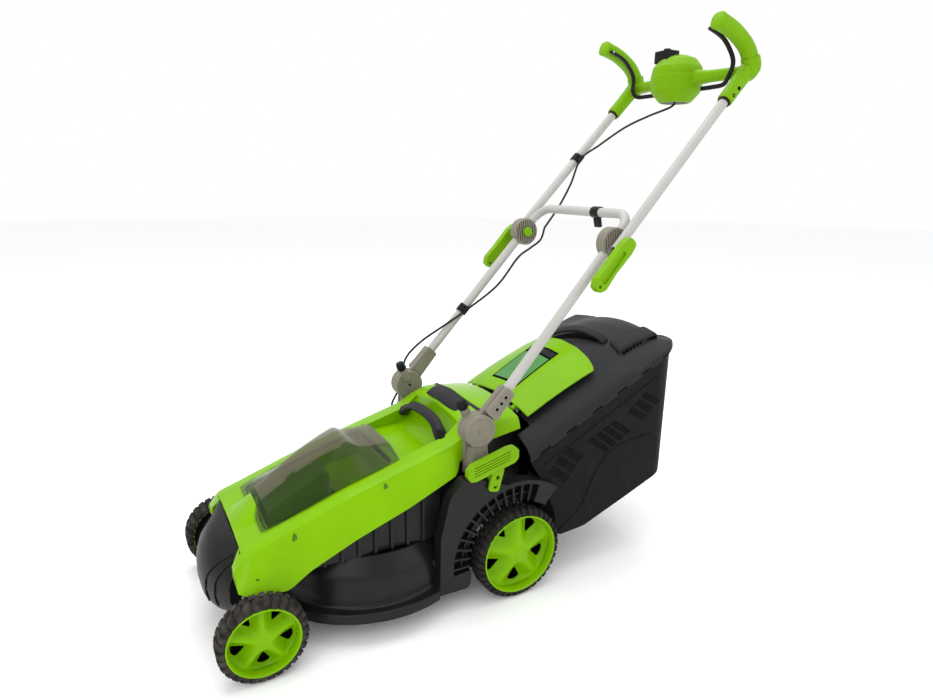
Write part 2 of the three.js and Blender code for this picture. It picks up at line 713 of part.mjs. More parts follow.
function lockKnob(side) {
  const at = (distance) => [KNUCKLE.inner[0], ...along(lowerPivot, LOCK_ANGLE, distance)];
  return mirrored(join(
    rod(at(22), at(50), 3.6, 12),
    rod(at(42.4), at(48), 8, 12, 11),
    rod(at(47.9), at(62), 11, 12, 8.5),
  ), side);
}

// The turning half of the joint: a disc and the socket that holds the lower tube.
function pivotSocket(side) {
  const [y, z] = lowerPivot;
  const at = (distance, off) => {
    const [py, pz] = along(lowerPivot, LOWER_ANGLE, distance);
    return along([py, pz], LOWER_ANGLE + Math.PI / 2, off);
  };
  const [inner, outer] = KNUCKLE.disc;
  const disc = rod([inner, y, z], [outer, y, z], FOLD.radius, 20);
  const neck = prism([at(10, -17), at(96, -14), at(96, 14), at(10, 17)], inner, outer);
  const socket = prism([at(35, -17), at(96, -14), at(96, 14), at(35, 17)], inner, KNUCKLE.outer[1] + 1);
  const bore = rod([inner - 0.5, y, z], [outer + 0.3, y, z], PIVOT_PIN + 0.4);
  const tubeWay = rod(
    [lowerTubeX(40), ...at(40, 0)],
    [lowerTubeX(120), ...at(120, 0)],
    TUBE_BORE,
    20,
  );
  const screws = [52, 76].map((d) => rod([183, ...at(d, 0)], [187, ...at(d, 0)], 3, 8));
  return mirrored(cut(join(disc, neck, socket), bore, tubeWay, ...screws), side);
}

// One tube bent into a U: two legs and the crossbar.
function lowerHandleTube() {
  const corner = 42;
  const legEnd = LOWER_LENGTH + CROSSBAR_RISE - corner;
  const half = [[lowerTubeX(corner), corner]];
  for (let turn = 0; turn <= 90; turn += 15) {
    const a = THREE.MathUtils.degToRad(turn);
    half.push([lowerTubeX(legEnd) - corner * (1 - Math.cos(a)), legEnd + corner * Math.sin(a)]);
  }
  const place = (x, distance) => [x, ...along(lowerPivot, LOWER_ANGLE, distance)];
  const legs = SIDES.map(([, side]) => half.map(([x, distance]) => place(side * x, distance)));
  const tube = kinked([...legs[0], ...legs[1].reverse()], TUBE_R, 12, TUBE_R - TUBE_WALL);
  return cut(tube, rod([-190, ...middlePivot], [190, ...middlePivot], BOLT.hole));
}

function foldDisc(side) {
  const [y, z] = middlePivot;
  const at = (distance) => [lowerTubeX(distance), ...along(lowerPivot, LOWER_ANGLE, distance)];
  const disc = rod([147.5, y, z], [172.2, y, z], 31, 20);
  const tubeWay = rod(at(LOWER_LENGTH - 60), at(LOWER_LENGTH + 60), TUBE_BORE, 20);
  const boltWay = rod([140, y, z], [180, y, z], BOLT.hole);
  return mirrored(cut(disc, tubeWay, boltWay), side);
}

for (const [name, side] of SIDES) {
  piece(`${name}_handle_bracket`, handleBracket(side), WARM_GREY);
  piece(`${name}_lock_knob`, lockKnob(side), BLACK);
  piece(`${name}_pivot_socket`, pivotSocket(side), WARM_GREY);
  piece(`${name}_fold_disc`, foldDisc(side), WARM_GREY);
}
piece("lower_handle_tube", lowerHandleTube(), TUBE_GREY);

// ---- upper handle ----
const UPPER_TUBE_X = { middle: 184, mouth: 172 };
const upperTubeX = (distance) =>
  UPPER_TUBE_X.middle + ((UPPER_TUBE_X.mouth - UPPER_TUBE_X.middle) * distance) / UPPER_LENGTH;
const upperAt = (distance) => [upperTubeX(distance), ...along(middlePivot, UPPER_ANGLE, distance)];

function upperTube(side) {
  const whole = rod(upperAt(-16), upperAt(UPPER_LENGTH + 40), TUBE_R, 12);
  const inside = rod(upperAt(-18), upperAt(UPPER_LENGTH + 42), TUBE_R - TUBE_WALL, 12);
  const boltWay = rod([160, ...middlePivot], [200, ...middlePivot], BOLT.hole);
  return mirrored(cut(whole, inside, boltWay), side);
}

const CAM_X = 207; // the cam levers swing outwards about a pin here

// The bolt through both tubes, with a round nut on its inner end.
function foldBolt(side) {
  return mirrored(join(
    rod([138, ...middlePivot], [CAM_X + 2, ...middlePivot], BOLT.radius),
    rod([138, ...middlePivot], [147, ...middlePivot], 11),
  ), side);
}

// A quick-release lever that lies along the tube, its fork open to the bolt's end.
function camLever(side) {
  const at = (distance, off) =>
    along(along(middlePivot, LOWER_ANGLE, distance), LOWER_ANGLE + Math.PI / 2, off);
  const body = prism([
    at(8, -14), at(8, 14), at(-96, 17), at(-112, 8), at(-112, -10), at(-98, -18),
  ], 198, 216);
  const groove = prism([at(-16, -4), at(-16, 4), at(-96, 6), at(-96, -6)], 212, 220);
  const fork = prism([at(20, -3.8), at(20, 3.8), at(-4, 3.8), at(-4, -3.8)], 190, CAM_X + 4);
  return mirrored(cut(body, groove, fork), side);
}

for (const [name, side] of SIDES) {
  piece(`${name}_upper_tube`, upperTube(side), TUBE_GREY);
  piece(`${name}_fold_bolt`, foldBolt(side), LIME_SATIN);
  piece(`${name}_cam_lever`, camLever(side), LIME_SATIN);
}

// ---- handlebar ----
const GRIP = [
  [566, 1044],
  [560, 1068],
  [538, 1092],
  [499, 1116],
  [456, 1129],
];
const GRIP_X = 172;
const LEVER_X = 150; // the switch levers run on the inner sides of the grips
const LEVER_PIVOT = [462, 1118];
const SWITCH_BLOCK = { low: [-34, 486, 1078], high: [10, 522, 1104] };
function handlebar() {
  const { y, z } = SWITCH;
  const outside = [[0, -52], [34, -52], [54, -30], [58, 0], [54, 24], [40, 42], [20, 50], [0, 52]];
  const inside = [[0, -60], [30, -60], [31, -48], [50, -28], [54, 0], [50, 22], [38, 38], [0, 46]];
  const [whole, room] = [outside, inside].map((profile) => turned(profile, 16, "z", [0, y, z]));
  const housing = cut(whole, room);
  const parts = [housing];
  for (const [, side] of SIDES) {
    const at = ([py, pz], x = GRIP_X) => [side * x, py, pz];
    parts.push(
      rod([side * 53, y + 12, z - 2], at([562, 1043]), 13),
      ball(at([562, 1044]), 19, 10),
      bent(GRIP.map((p) => at(p)), 17, 7, 10),
      mirrored(rod(upperAt(UPPER_LENGTH), upperAt(UPPER_LENGTH + 96), 14.5), side),
      rod([side * (LEVER_X - 6), ...LEVER_PIVOT], [side * (LEVER_X + 12), ...LEVER_PIVOT], 2.4, 8),
    );
  }
  const bores = SIDES.map(([, side]) =>
    mirrored(rod(upperAt(UPPER_LENGTH - 5), upperAt(UPPER_LENGTH + 44), TUBE_BORE, 20), side));
  const { low, high } = SWITCH_BLOCK;
  const pocket = block(low.map((v) => v - GAP), [high[0] + GAP, high[1] + GAP, high[2] + 40]);
  return cut(join(...parts), ...bores, pocket);
}
piece("handlebar", handlebar(), LIME_SATIN);

const BUTTON = { x: -12, y: 504, radius: 8 };
function buttonWay(grow, from, to) {
  return rod([BUTTON.x, BUTTON.y, from], [BUTTON.x, BUTTON.y, to], BUTTON.radius + grow);
}
piece("switch_block", cut(
  block(SWITCH_BLOCK.low, SWITCH_BLOCK.high),
  buttonWay(0.4, SWITCH_BLOCK.high[2] - 10, SWITCH_BLOCK.high[2] + 5),
), BLACK);
piece("start_button", buttonWay(0, SWITCH_BLOCK.high[2] - 5, SWITCH_BLOCK.high[2] + 5), CHARCOAL);

// The switch lever: hinged near the tip of the grip, it follows the grip down and then runs under the bar.
function switchLever(side) {
  const path = [
    [LEVER_X, 457, 1119],
    [LEVER_X, 498, 1104],
    [LEVER_X, 526, 1078],
    [LEVER_X, 534, 1058],
    [LEVER_X - 4, 530, 1036],
    [LEVER_X - 18, 532, 1020],
    [70, 534, 1018],
  ];
  return mirrored(kinked(path, 4), side);
}
const pinWay = (side) =>
  rod([side * (LEVER_X - 10), ...LEVER_PIVOT], [side * (LEVER_X + 10), ...LEVER_PIVOT], 2.8, 8);
for (const [name, side] of SIDES) {
  piece(`${name}_switch_lever`, cut(switchLever(side), pinWay(side)), BLACK);
}

// ---- cable and its clips ----
const clipAt = (middle, axis, radius) => {
  const [x, y, z] = middle;
  const dir = new THREE.Vector3(...axis).normalize().multiplyScalar(11);
  const from = [x - dir.x, y - dir.y, z - dir.z];
  const to = [x + dir.x, y + dir.y, z + dir.z];
  return cut(rod(from, to, radius + 3, 14), rod(
    [x - 2 * dir.x, y - 2 * dir.y, z - 2 * dir.z],
    [x + 2 * dir.x, y + 2 * dir.y, z + 2 * dir.z],
    radius + GAP,
    20,
  ));
};
const mirrorX = ([x, y, z]) => [-x, y, z];
const UPPER_CLIP = mirrorX(upperAt(235));
const LOWER_CLIP_AT = 219;
const LOWER_CLIP = [-lowerTubeX(LOWER_CLIP_AT), ...along(lowerPivot, LOWER_ANGLE, LOWER_CLIP_AT)];
const upperDir = mirrorX(upperAt(236)).map((v, i) => v - UPPER_CLIP[i]);
const lowerDir = [
  (LOWER_TUBE_X.pivot - LOWER_TUBE_X.middle) / LOWER_LENGTH,
  Math.cos(LOWER_ANGLE),
  Math.sin(LOWER_ANGLE),
];
const beside = (clip, gap) => [clip[0] + TUBE_R + 3 + CABLE_R + gap, clip[1], clip[2]];
piece("upper_cable_clip", clipAt(UPPER_CLIP, upperDir, TUBE_R), BLACK);
piece("lower_cable_clip", clipAt(LOWER_CLIP, lowerDir, TUBE_R), BLACK);
piece("cable_upper", bent([
  [0, 530, 994.5],
  [-10, 522, 984],
  [-50, 499, 968],
  [-100, 472, 944],
  [-142, 432, 904],
  beside(UPPER_CLIP, 1.2),
  [-152, 358, 812],
  [-144, 322, 762],
  [-140, 290, 725],
  [-139.5, 276.3, 709.3],
], CABLE_R, 20), RUBBER);
piece("cable_lower", bent([
  [-139.5, 275.7, 708.6],
  [-139, 265, 680],
  [-139, 236, 661],
  [-144, 204, 638],
  [-148, 150, 574],
  beside(LOWER_CLIP, 1.2),
  [-160, 20, 490],
  [-182, -36, 448],
  [-193, -70, 408],
  [-194, -79, 359],
], CABLE_R, 24), RUBBER);
piece("cable_foot", bent([
  [-194, -80, 352],
  [-192, -87, 338],
  [-190, -98, 322],
  [-184, -109, 308],
  [-172, -114, 299],
], CABLE_R, 6), RUBBER);

export default mower;
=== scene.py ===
"""The looks of a cordless push lawn mower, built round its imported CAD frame.

Shapes are written in millimetres, measured back from the rear axle (y) and up from the ground (z);
at() turns them into the row frame's metres."""
import json
import math

import bmesh
import bpy
from mathutils import Matrix, Vector


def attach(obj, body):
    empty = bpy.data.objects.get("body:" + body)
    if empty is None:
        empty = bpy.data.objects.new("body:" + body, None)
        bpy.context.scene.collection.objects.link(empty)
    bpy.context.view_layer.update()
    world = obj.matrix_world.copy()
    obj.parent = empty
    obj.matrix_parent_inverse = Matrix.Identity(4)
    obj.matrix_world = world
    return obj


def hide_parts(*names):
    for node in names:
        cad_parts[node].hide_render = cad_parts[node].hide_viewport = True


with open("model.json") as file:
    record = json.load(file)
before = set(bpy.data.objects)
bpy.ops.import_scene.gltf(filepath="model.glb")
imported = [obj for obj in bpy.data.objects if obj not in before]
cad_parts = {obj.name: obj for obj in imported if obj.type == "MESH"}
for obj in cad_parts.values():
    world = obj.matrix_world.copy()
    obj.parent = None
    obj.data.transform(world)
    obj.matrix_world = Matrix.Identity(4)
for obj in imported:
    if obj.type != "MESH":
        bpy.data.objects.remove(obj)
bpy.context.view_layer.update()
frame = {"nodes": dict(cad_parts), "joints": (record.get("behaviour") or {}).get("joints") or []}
JOINTS = {joint["name"]: joint for joint in frame["joints"]}
AXLE_Y = JOINTS["rear_left_wheel_spin"]["pos_m"][1] * 1000
SIDES = (("left", 1), ("right", -1))


# ---- places ----
def at(x, y, z):
    return Vector((x, y + AXLE_Y, z)) / 1000


def pivot(joint):
    x, y, z = (value * 1000 for value in JOINTS[joint]["pos_m"])
    return (x, y - AXLE_Y, z)


LOWER = pivot("lower_fold")[1:]
MIDDLE = pivot("upper_fold")[1:]
LOWER_ANGLE = math.atan2(MIDDLE[1] - LOWER[1], MIDDLE[0] - LOWER[0])
LOWER_LENGTH = math.dist(LOWER, MIDDLE)
UPPER_ANGLE = math.radians(46.7)
UPPER_LENGTH = 387
CROSSBAR_RISE = 73
TUBE_R = 10
DECK_Y = pivot("blade_spin")[1]


def along(origin, angle, distance, off=0):
    """[y, z] at a distance along a slanted line, and off to its upper side."""
    y, z = origin
    return (
        y + distance * math.cos(angle) - off * math.sin(angle),
        z + distance * math.sin(angle) + off * math.cos(angle),
    )


def mix(a, b, t):
    return a + (b - a) * t


# ---- outlines and paths ----
def spline(points, per=8):
    """Points on a smooth curve through the given ones."""
    ends = [points[0]] + list(points) + [points[-1]]
    made = []
    for a, b, c, d in zip(ends, ends[1:], ends[2:], ends[3:]):
        for i in range(per):
            t = i / per
            made.append(tuple(
                0.5 * (2 * q + (r - p) * t + (2 * p - 5 * q + 4 * r - s) * t * t
                       + (3 * q - p - 3 * r + s) * t ** 3)
                for p, q, r, s in zip(a, b, c, d)
            ))
    made.append(tuple(points[-1]))
    return made


def fillet(points, radius, steps=6, closed=False):
    """A polygon or path with its corners turned to arcs. radius is one number, or one for each corner."""
    count = len(points)
    radii = radius if isinstance(radius, (list, tuple)) else [radius] * count
    made = []
    for i, point in enumerate(points):
        if not closed and i in (0, count - 1) or radii[i] <= 0:
            made.append(tuple(point))
            continue
        corner = Vector(point)
        before = Vector(points[i - 1]) - corner
        after = Vector(points[(i + 1) % count]) - corner
        half = before.angle(after) / 2
        reach = min(radii[i] / math.tan(half), before.length * 0.49, after.length * 0.49)
        a = corner + before.normalized() * reach
        b = corner + after.normalized() * reach
        weight = math.sin(half)
        for step in range(steps + 1):
            t = step / steps
            wa, wc, wb = (1 - t) ** 2, 2 * t * (1 - t) * weight, t * t
            made.append(tuple((a * wa + corner * wc + b * wb) / (wa + wc + wb)))
    return made


def rounded(corners, radius, steps=6):
    """A closed outline with its corners turned to arcs."""
    return fillet(corners, radius, steps, closed=True)


def circle(radius, sides=24, flat=1.0):
    return [
        (radius * math.cos(2 * math.pi * i / sides), flat * radius * math.sin(2 * math.pi * i / sides))
        for i in range(sides)
    ]


# ---- shells: (vertices, faces) ----
def loft(rings, closed=True, caps=True):
    count = len(rings[0])
    verts = [tuple(v) for ring in rings for v in ring]
    faces = []
    for r in range(len(rings) - 1):
        for i in range(count if closed else count - 1):
            j = (i + 1) % count
            faces.append((r * count + i, r * count + j, (r + 1) * count + j, (r + 1) * count + i))
    if caps and closed:
        last = (len(rings) - 1) * count
        faces.append(tuple(reversed(range(count))))
        faces.append(tuple(range(last, last + count)))
    return verts, faces


def prism(outline, x0, x1):
    """A side view of [y, z] points, from x0 to x1."""
    return loft([[(x, y, z) for y, z in outline] for x in (x0, x1)])


def slab(outline, z0, z1):
    """A plan of [x, y] points, from z0 to z1."""
    return loft([[(x, y, z) for x, y in outline] for z in (z0, z1)])


def turned(profile, centre=(0, 0, 0), axis="x", sides=64):
    """A closed profile of [radius, distance along the axis] points, turned about the axis."""
    rings = []
    cx, cy, cz = centre
    for i in range(sides):
        c, s = math.cos(2 * math.pi * i / sides), math.sin(2 * math.pi * i / sides)
        if axis == "x":
            rings.append([(cx + h, cy + r * c, cz + r * s) for r, h in profile])
        else:
            rings.append([(cx + r * c, cy + r * s, cz + h) for r, h in profile])
    rings.append(rings[0])
    return loft(rings, caps=False)


def sweep(path, section, up=(0, 0, 1), scale=None):
    """A section of [u, v] points carried along a path; scale gives its size at each point."""
    points = [Vector(p) for p in path]
    normal = None
    rings = []
    for i, point in enumerate(points):
        ahead = points[min(i + 1, len(points) - 1)] - points[max(i - 1, 0)]
        tangent = ahead.normalized()
        if normal is None:
            normal = Vector(up) - tangent * tangent.dot(Vector(up))
            if normal.length < 1e-3:
                normal = Vector((1, 0, 0)) - tangent * tangent.x
        normal = (normal - tangent * tangent.dot(normal)).normalized()
        side = tangent.cross(normal)
        grow = 1 if scale is None else scale[i]
        rings.append([tuple(point + (side * u + normal * v) * grow) for u, v in section])
    return loft(rings)


def rod(a, b, radius, sides=32, end=None):
    """A round bar with softened ends."""
    a, b = Vector(a), Vector(b)
    end = radius if end is None else end
    way = (b - a).normalized()
    soft = min(1.0, radius / 4)
    path = [a, a + way * soft, b - way * soft, b]
    scale = [1 - soft / radius, 1, end / radius, (end - soft) / radius]
    up = (1, 0, 0) if abs(way.x) < 0.9 else (0, 0, 1)
    # the ends' short steps keep the direction of the whole bar
    rings = []
    side = way.cross(Vector(up)).normalized()
    other = way.cross(side)
    for point, grow in zip(path, scale):
        rings.append([tuple(point + (side * u + other * v) * grow) for u, v in circle(radius, sides)])
    return loft(rings)


def mirror(shell, side=-1):
    verts, faces = shell
    return ([(x * side, y, z) for x, y, z in verts], faces)


def on(side, *shells):
    """Shells that are drawn on the left, put on the side asked for."""
    return [mirror(shell, side) for shell in shells]


def both_halves(half, y, middle):
    """A section across the machine, from its left half and the height in its middle."""
    return [(x, y, z) for x, z in half] + [(0, y, middle)] + [(-x, y, z) for x, z in reversed(half)]


# ---- materials ----
def material(name, color, rough, grain=(900, 0.02), mottle=0.06, metal=0.0, coat=0.0, dust=None,
             streak=None, shine=0.2):
    """A moulded or metal surface: two near shades in soft patches, an uneven gloss and a fine grain.
    dust is (colour, amount) and settles unevenly. streak stretches the grain along an axis.
    shine is how much the surface mirrors."""
    made = bpy.data.materials.new(name)
    made.use_nodes = True
    nodes, links = made.node_tree.nodes, made.node_tree.links
    shader = nodes["Principled BSDF"]
    shader.inputs["Metallic"].default_value = metal
    shader.inputs["Coat Weight"].default_value = coat
    shader.inputs["Coat Roughness"].default_value = 0.12
    shader.inputs["Specular IOR Level"].default_value = shine
    where = nodes.new("ShaderNodeTexCoord").outputs["Object"]
    if streak:
        mapping = nodes.new("ShaderNodeMapping")
        mapping.inputs["Scale"].default_value = streak
        links.new(where, mapping.inputs["Vector"])
        where = mapping.outputs["Vector"]

    def noise(scale, detail=3.0):
        node = nodes.new("ShaderNodeTexNoise")
        node.inputs["Scale"].default_value = scale
        node.inputs["Detail"].default_value = detail
        links.new(where, node.inputs["Vector"])
        return node.outputs["Fac"]

    def ramp(source, low, high, start=0.35, stop=0.65):
        node = nodes.new("ShaderNodeValToRGB")
        node.color_ramp.elements[0].position = start
        node.color_ramp.elements[1].position = stop
        node.color_ramp.elements[0].color = low
        node.color_ramp.elements[1].color = high
        links.new(source, node.inputs["Fac"])
        return node.outputs["Color"]

    dark = tuple(c * (1 - mottle) for c in color) + (1,)
    light = tuple(min(1.0, c * (1 + mottle)) for c in color) + (1,)
    base = ramp(noise(14), dark, light)
    if dust:
        dust_color, amount = dust
        blend = nodes.new("ShaderNodeMix")
        blend.data_type = "RGBA"
        cover = ramp(noise(55, 6.0), (0, 0, 0, 1), (amount, amount, amount, 1), 0.42, 0.72)
        links.new(cover, blend.inputs["Factor"])
        links.new(base, blend.inputs["A"])
        blend.inputs["B"].default_value = tuple(dust_color) + (1,)
        base = blend.outputs["Result"]
    links.new(base, shader.inputs["Base Color"])
    gloss = nodes.new("ShaderNodeMapRange")
    gloss.inputs["To Min"].default_value = rough * 0.85
    gloss.inputs["To Max"].default_value = min(1.0, rough * 1.2)
    links.new(noise(30), gloss.inputs["Value"])
    links.new(gloss.outputs["Result"], shader.inputs["Roughness"])
    scale, strength = grain
    bump = nodes.new("ShaderNodeBump")
    bump.inputs["Strength"].default_value = strength
    bump.inputs["Distance"].default_value = 0.001
    links.new(noise(scale, 2.0), bump.inputs["Height"])
    links.new(bump.outputs["Normal"], shader.inputs["Normal"])
    return made


def smoke(name, color, cover):
    """Smoked see-through plastic; cover is how much it hides."""
    made = material(name, color, 0.08, grain=(60, 0.004), mottle=0.08, coat=0.05, shine=0.25)
    made.node_tree.nodes["Principled BSDF"].inputs["Alpha"].default_value = cover
    return made


DUSTY = (0.16, 0.14, 0.11)
LIME = material("lime_gloss_moulding", (0.175, 0.39, 0.0005), 0.22, grain=(260, 0.02), mottle=0.04, coat=0.05,
                shine=0.07)
LIME_SATIN = material("lime_satin_moulding", (0.16, 0.35, 0.001), 0.4, grain=(1400, 0.04), mottle=0.04,
                      shine=0.1)
# painted shade: a darker copy of the lime, for the flank's dimples and screw
LIME_PAINTED_SHADE = material("lime_painted_shade", (0.06, 0.15, 0.002), 0.5, grain=(1400, 0.04), mottle=0.04)
BLACK = material("black_moulding", (0.007, 0.007, 0.007), 0.4, grain=(1500, 0.06), dust=(DUSTY, 0.02),
                 shine=0.12)
DECK_BLACK = material("deck_moulding", (0.007, 0.007, 0.007), 0.3, grain=(1200, 0.05), dust=(DUSTY, 0.02))
# near-black: the label's printed frame and the sleeve's screws, and painted shade in slots, screw holes,
# between ribs and behind the rims
NEAR_BLACK_AND_PAINTED_SHADE = material("near_black_and_painted_shade", (0.002, 0.002, 0.002), 0.8, grain=(900, 0.05), shine=0.05)
CHARCOAL = material("charcoal_grain", (0.015, 0.0155, 0.0175), 0.45, grain=(2200, 0.10), mottle=0.05,
                    shine=0.14)
BOX_BLACK = material("box_grain", (0.008, 0.008, 0.007), 0.55, grain=(2200, 0.12), dust=(DUSTY, 0.02),
                     shine=0.06)
WARM_GREY = material("warm_grey_moulding", (0.20, 0.185, 0.145), 0.45, grain=(1400, 0.05))
TUBE = material("coated_tube", (0.41, 0.40, 0.38), 0.35, grain=(90, 0.005), mottle=0.03, shine=0.3)
STEEL = material("plain_steel", (0.40, 0.40, 0.40), 0.35, grain=(700, 0.03), metal=0.95, streak=(1, 12, 1))
TREAD = material("tyre_rubber", (0.010, 0.010, 0.009), 0.8, grain=(500, 0.25), dust=(DUSTY, 0.10))
DUSTY_TREAD = material("dusty_tyre_rubber", (0.018, 0.016, 0.014), 0.85, grain=(500, 0.3),
                       dust=((0.16, 0.14, 0.12), 0.28))
CABLE_SHEATH = material("cable_sheath", (0.012, 0.012, 0.012), 0.5, grain=(1200, 0.05))
PACK = material("battery_case", (0.05, 0.17, 0.006), 0.5, grain=(60, 0.004))
SMOKE = smoke("smoked_plastic", (0.022, 0.040, 0.006), 0.30)
SMOKE_TOP = smoke("smoked_plastic_crest", (0.105, 0.090, 0.055), 0.55)
LABEL = material("label_face", (0.06, 0.22, 0.05), 0.35, grain=(600, 0.01), mottle=0.10)

SLOTS = {
    LIME: "lime_gloss", LIME_PAINTED_SHADE: "lime_gloss", LIME_SATIN: "lime_satin", SMOKE: "smoke_plastic",
    BLACK: "black_plastic", DECK_BLACK: "black_plastic", CHARCOAL: "charcoal_plastic",
    BOX_BLACK: "box_black", WARM_GREY: "warm_grey_plastic", TUBE: "tube_coated", STEEL: "steel",
    TREAD: "tyre_rubber", DUSTY_TREAD: "tyre_rubber", CABLE_SHEATH: "cable_rubber",
}


# ---- making pieces ----
def object_of(name, shells, mat):
    verts, faces = [], []
    for shell_verts, shell_faces in shells:
        base = len(verts)
        verts += [at(*v) for v in shell_verts]
        faces += [tuple(base + i for i in face) for face in shell_faces]
    mesh = bpy.data.meshes.new(name)
    mesh.from_pydata(verts, [], faces)
    shape = bmesh.new()
    shape.from_mesh(mesh)
    bmesh.ops.remove_doubles(shape, verts=shape.verts, dist=1e-6)
    bmesh.ops.dissolve_degenerate(shape, edges=shape.edges, dist=1e-6)
    bmesh.ops.recalc_face_normals(shape, faces=shape.faces)
    shape.to_mesh(mesh)
    shape.free()
    mesh.materials.append(mat)
    made = bpy.data.objects.new(name, mesh)
    bpy.context.scene.collection.objects.link(made)
    return made


def hollow(made, tool):
    """Takes one object out of another for good."""
    cut = made.modifiers.new("cut", "BOOLEAN")
    cut.operation, cut.solver, cut.object = "DIFFERENCE", "EXACT", tool
    bpy.context.view_layer.update()
    made.data = bpy.data.meshes.new_from_object(made.evaluated_get(bpy.context.evaluated_depsgraph_get()))
    made.modifiers.clear()
    bpy.data.objects.remove(tool)
    return made


def carve(made, *cutters):
    """Cuts shells out of a piece, one set after another."""
    for i, shells in enumerate(cutters):
        hollow(made, object_of(f"{made.name}_tool{i}", shells, made.data.materials[0]))
    return made


def round_edges(made, width, angle, segments=2):
    edge = made.modifiers.new("edges", "BEVEL")
    edge.width = width / 1000
    edge.segments = segments
    edge.limit_method = "ANGLE"
    edge.angle_limit = math.radians(angle)
    return edge


def finish_piece(made, body, nodes=(), slot="own", sharp=38, bevel=0.0, segments=2):
    """Rides a piece on its body, in place of CAD nodes. Its slot is looked up from its material and then not
    used.
    """
    made.data.shade_smooth()
    made.data.set_sharp_from_angle(angle=math.radians(sharp))
    if bevel:
        round_edges(made, bevel, sharp, segments).harden_normals = True
    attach(made, body)
    if nodes:
        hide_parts(*nodes)
    if slot == "own":
        slot = SLOTS.get(made.data.materials[0])
    return made


def piece(name, shells, mat, body, nodes=(), **looks):
    return finish_piece(object_of(name, shells, mat), body, nodes, **looks)


# ---- camera, light and floor ----
CAMERA_TURN = (61.34, 14.42, 0.59)
CAMERA_PLACE = (1189.8, -662.0, 816.9)
CAMERA_LENS = 25.46


def camera():
    azimuth, elevation, roll = (math.radians(turn) for turn in CAMERA_TURN)
    back = Vector((
        math.sin(azimuth) * math.cos(elevation),
        -math.cos(azimuth) * math.cos(elevation),
        math.sin(elevation),
    ))
    level = Vector((0, 0, 1)).cross(back).normalized()
    upright = back.cross(level)
    right = level * math.cos(roll) + upright * math.sin(roll)
    up = upright * math.cos(roll) - level * math.sin(roll)
    turn = Matrix((right, up, back)).transposed().to_4x4()
    data = bpy.data.cameras.new("camera")
    data.lens = CAMERA_LENS
    data.sensor_width = 36
    made = bpy.data.objects.new("camera", data)
    made.matrix_world = Matrix.Translation(at(*CAMERA_PLACE)) @ turn
    bpy.context.scene.collection.objects.link(made)
    bpy.context.scene.camera = made


def softbox(name, place, target, size, watts):
    data = bpy.data.lights.new(name, "AREA")
    data.shape = "RECTANGLE"
    data.size, data.size_y = size
    data.energy = watts
    made = bpy.data.objects.new(name, data)
    way = Vector(target) - Vector(place)
    made.matrix_world = Matrix.Translation(place) @ way.to_track_quat("-Z", "Y").to_matrix().to_4x4()
    bpy.context.scene.collection.objects.link(made)


def floor():
    verts = [(x, y, 0) for x, y in circle(14, 96)]
    mesh = bpy.data.meshes.new("floor")
    mesh.from_pydata(verts, [], [tuple(range(len(verts)))])
    mesh.materials.append(material("pale_floor", (0.96, 0.96, 0.96), 0.9, grain=(40, 0.01), mottle=0.004))
    made = bpy.data.objects.new("floor", mesh)
    bpy.context.scene.collection.objects.link(made)


def sky():
    world = bpy.data.worlds.new("studio")
    world.use_nodes = True
    glow = world.node_tree.nodes["Background"]
    glow.inputs["Color"].default_value = (1, 1, 1, 1)
    glow.inputs["Strength"].default_value = 1.0
    bpy.context.scene.world = world


bpy.context.scene.view_settings.view_transform = "Standard"
camera()
softbox("key", (2.2, -2.4, 2.8), (0, 0, 0.4), (2.6, 2.0), 34)
softbox("fill", (2.6, 1.8, 1.9), (0, 0.1, 0.5), (2.0, 2.0), 12)
softbox("top", (-0.6, 0.2, 3.4), (0, 0, 0.3), (3.0, 3.0), 66)
floor()
sky()


# ---- wheels ----
def smooth_step(t):
    t = max(0.0, min(1.0, t))
    return t * t * (3 - 2 * t)


LUG_SLANT = 0.055
DISH_DEPTH = 16
OPENING_TURN = math.radians(13)
SPOKE_START = math.radians(18)


def tread_block(centre, radius, half, side, start, stop):
    """One lug from the middle of the tread over the shoulder, slanted a little."""
    cx, cy, cz = centre
    section = [(1.5, radius - 5), (1.5, radius - 0.3), (half - 6, radius - 0.3), (half - 0.4, radius - 6),
               (half - 0.2, radius - 15), (half - 3, radius - 15)]
    rings = []
    for turn in (start, stop):
        ring = []
        for h, r in section:
            a = turn + side * LUG_SLANT * h / half
            ring.append((cx + side * h, cy + r * math.cos(a), cz + r * math.sin(a)))
        rings.append(ring)
    return loft(rings)


def tyre(name, centre, radius, rim, width, mat, lugs):
    half = width / 2
    section = rounded([
        (rim, 2 - half), (rim + 5, -half + 0.6), (radius - 10, 1 - half), (radius - 3.4, 7 - half),
        (radius - 3.4, half - 7), (radius - 10, half - 1), (rim + 5, half - 0.6), (rim, half - 2),
    ], 3, 3)
    shells = [turned(section, centre, sides=96)]
    step = 2 * math.pi / lugs
    for i in range(lugs):
        for side in (1, -1):
            start = step * (i + (0.5 if side > 0 else 0))
            shells.append(tread_block(centre, radius, half, side, start, start + step * 0.62))
    piece(name, shells, mat, name.replace("tyre", "wheel"), [name], sharp=30, bevel=0.7)


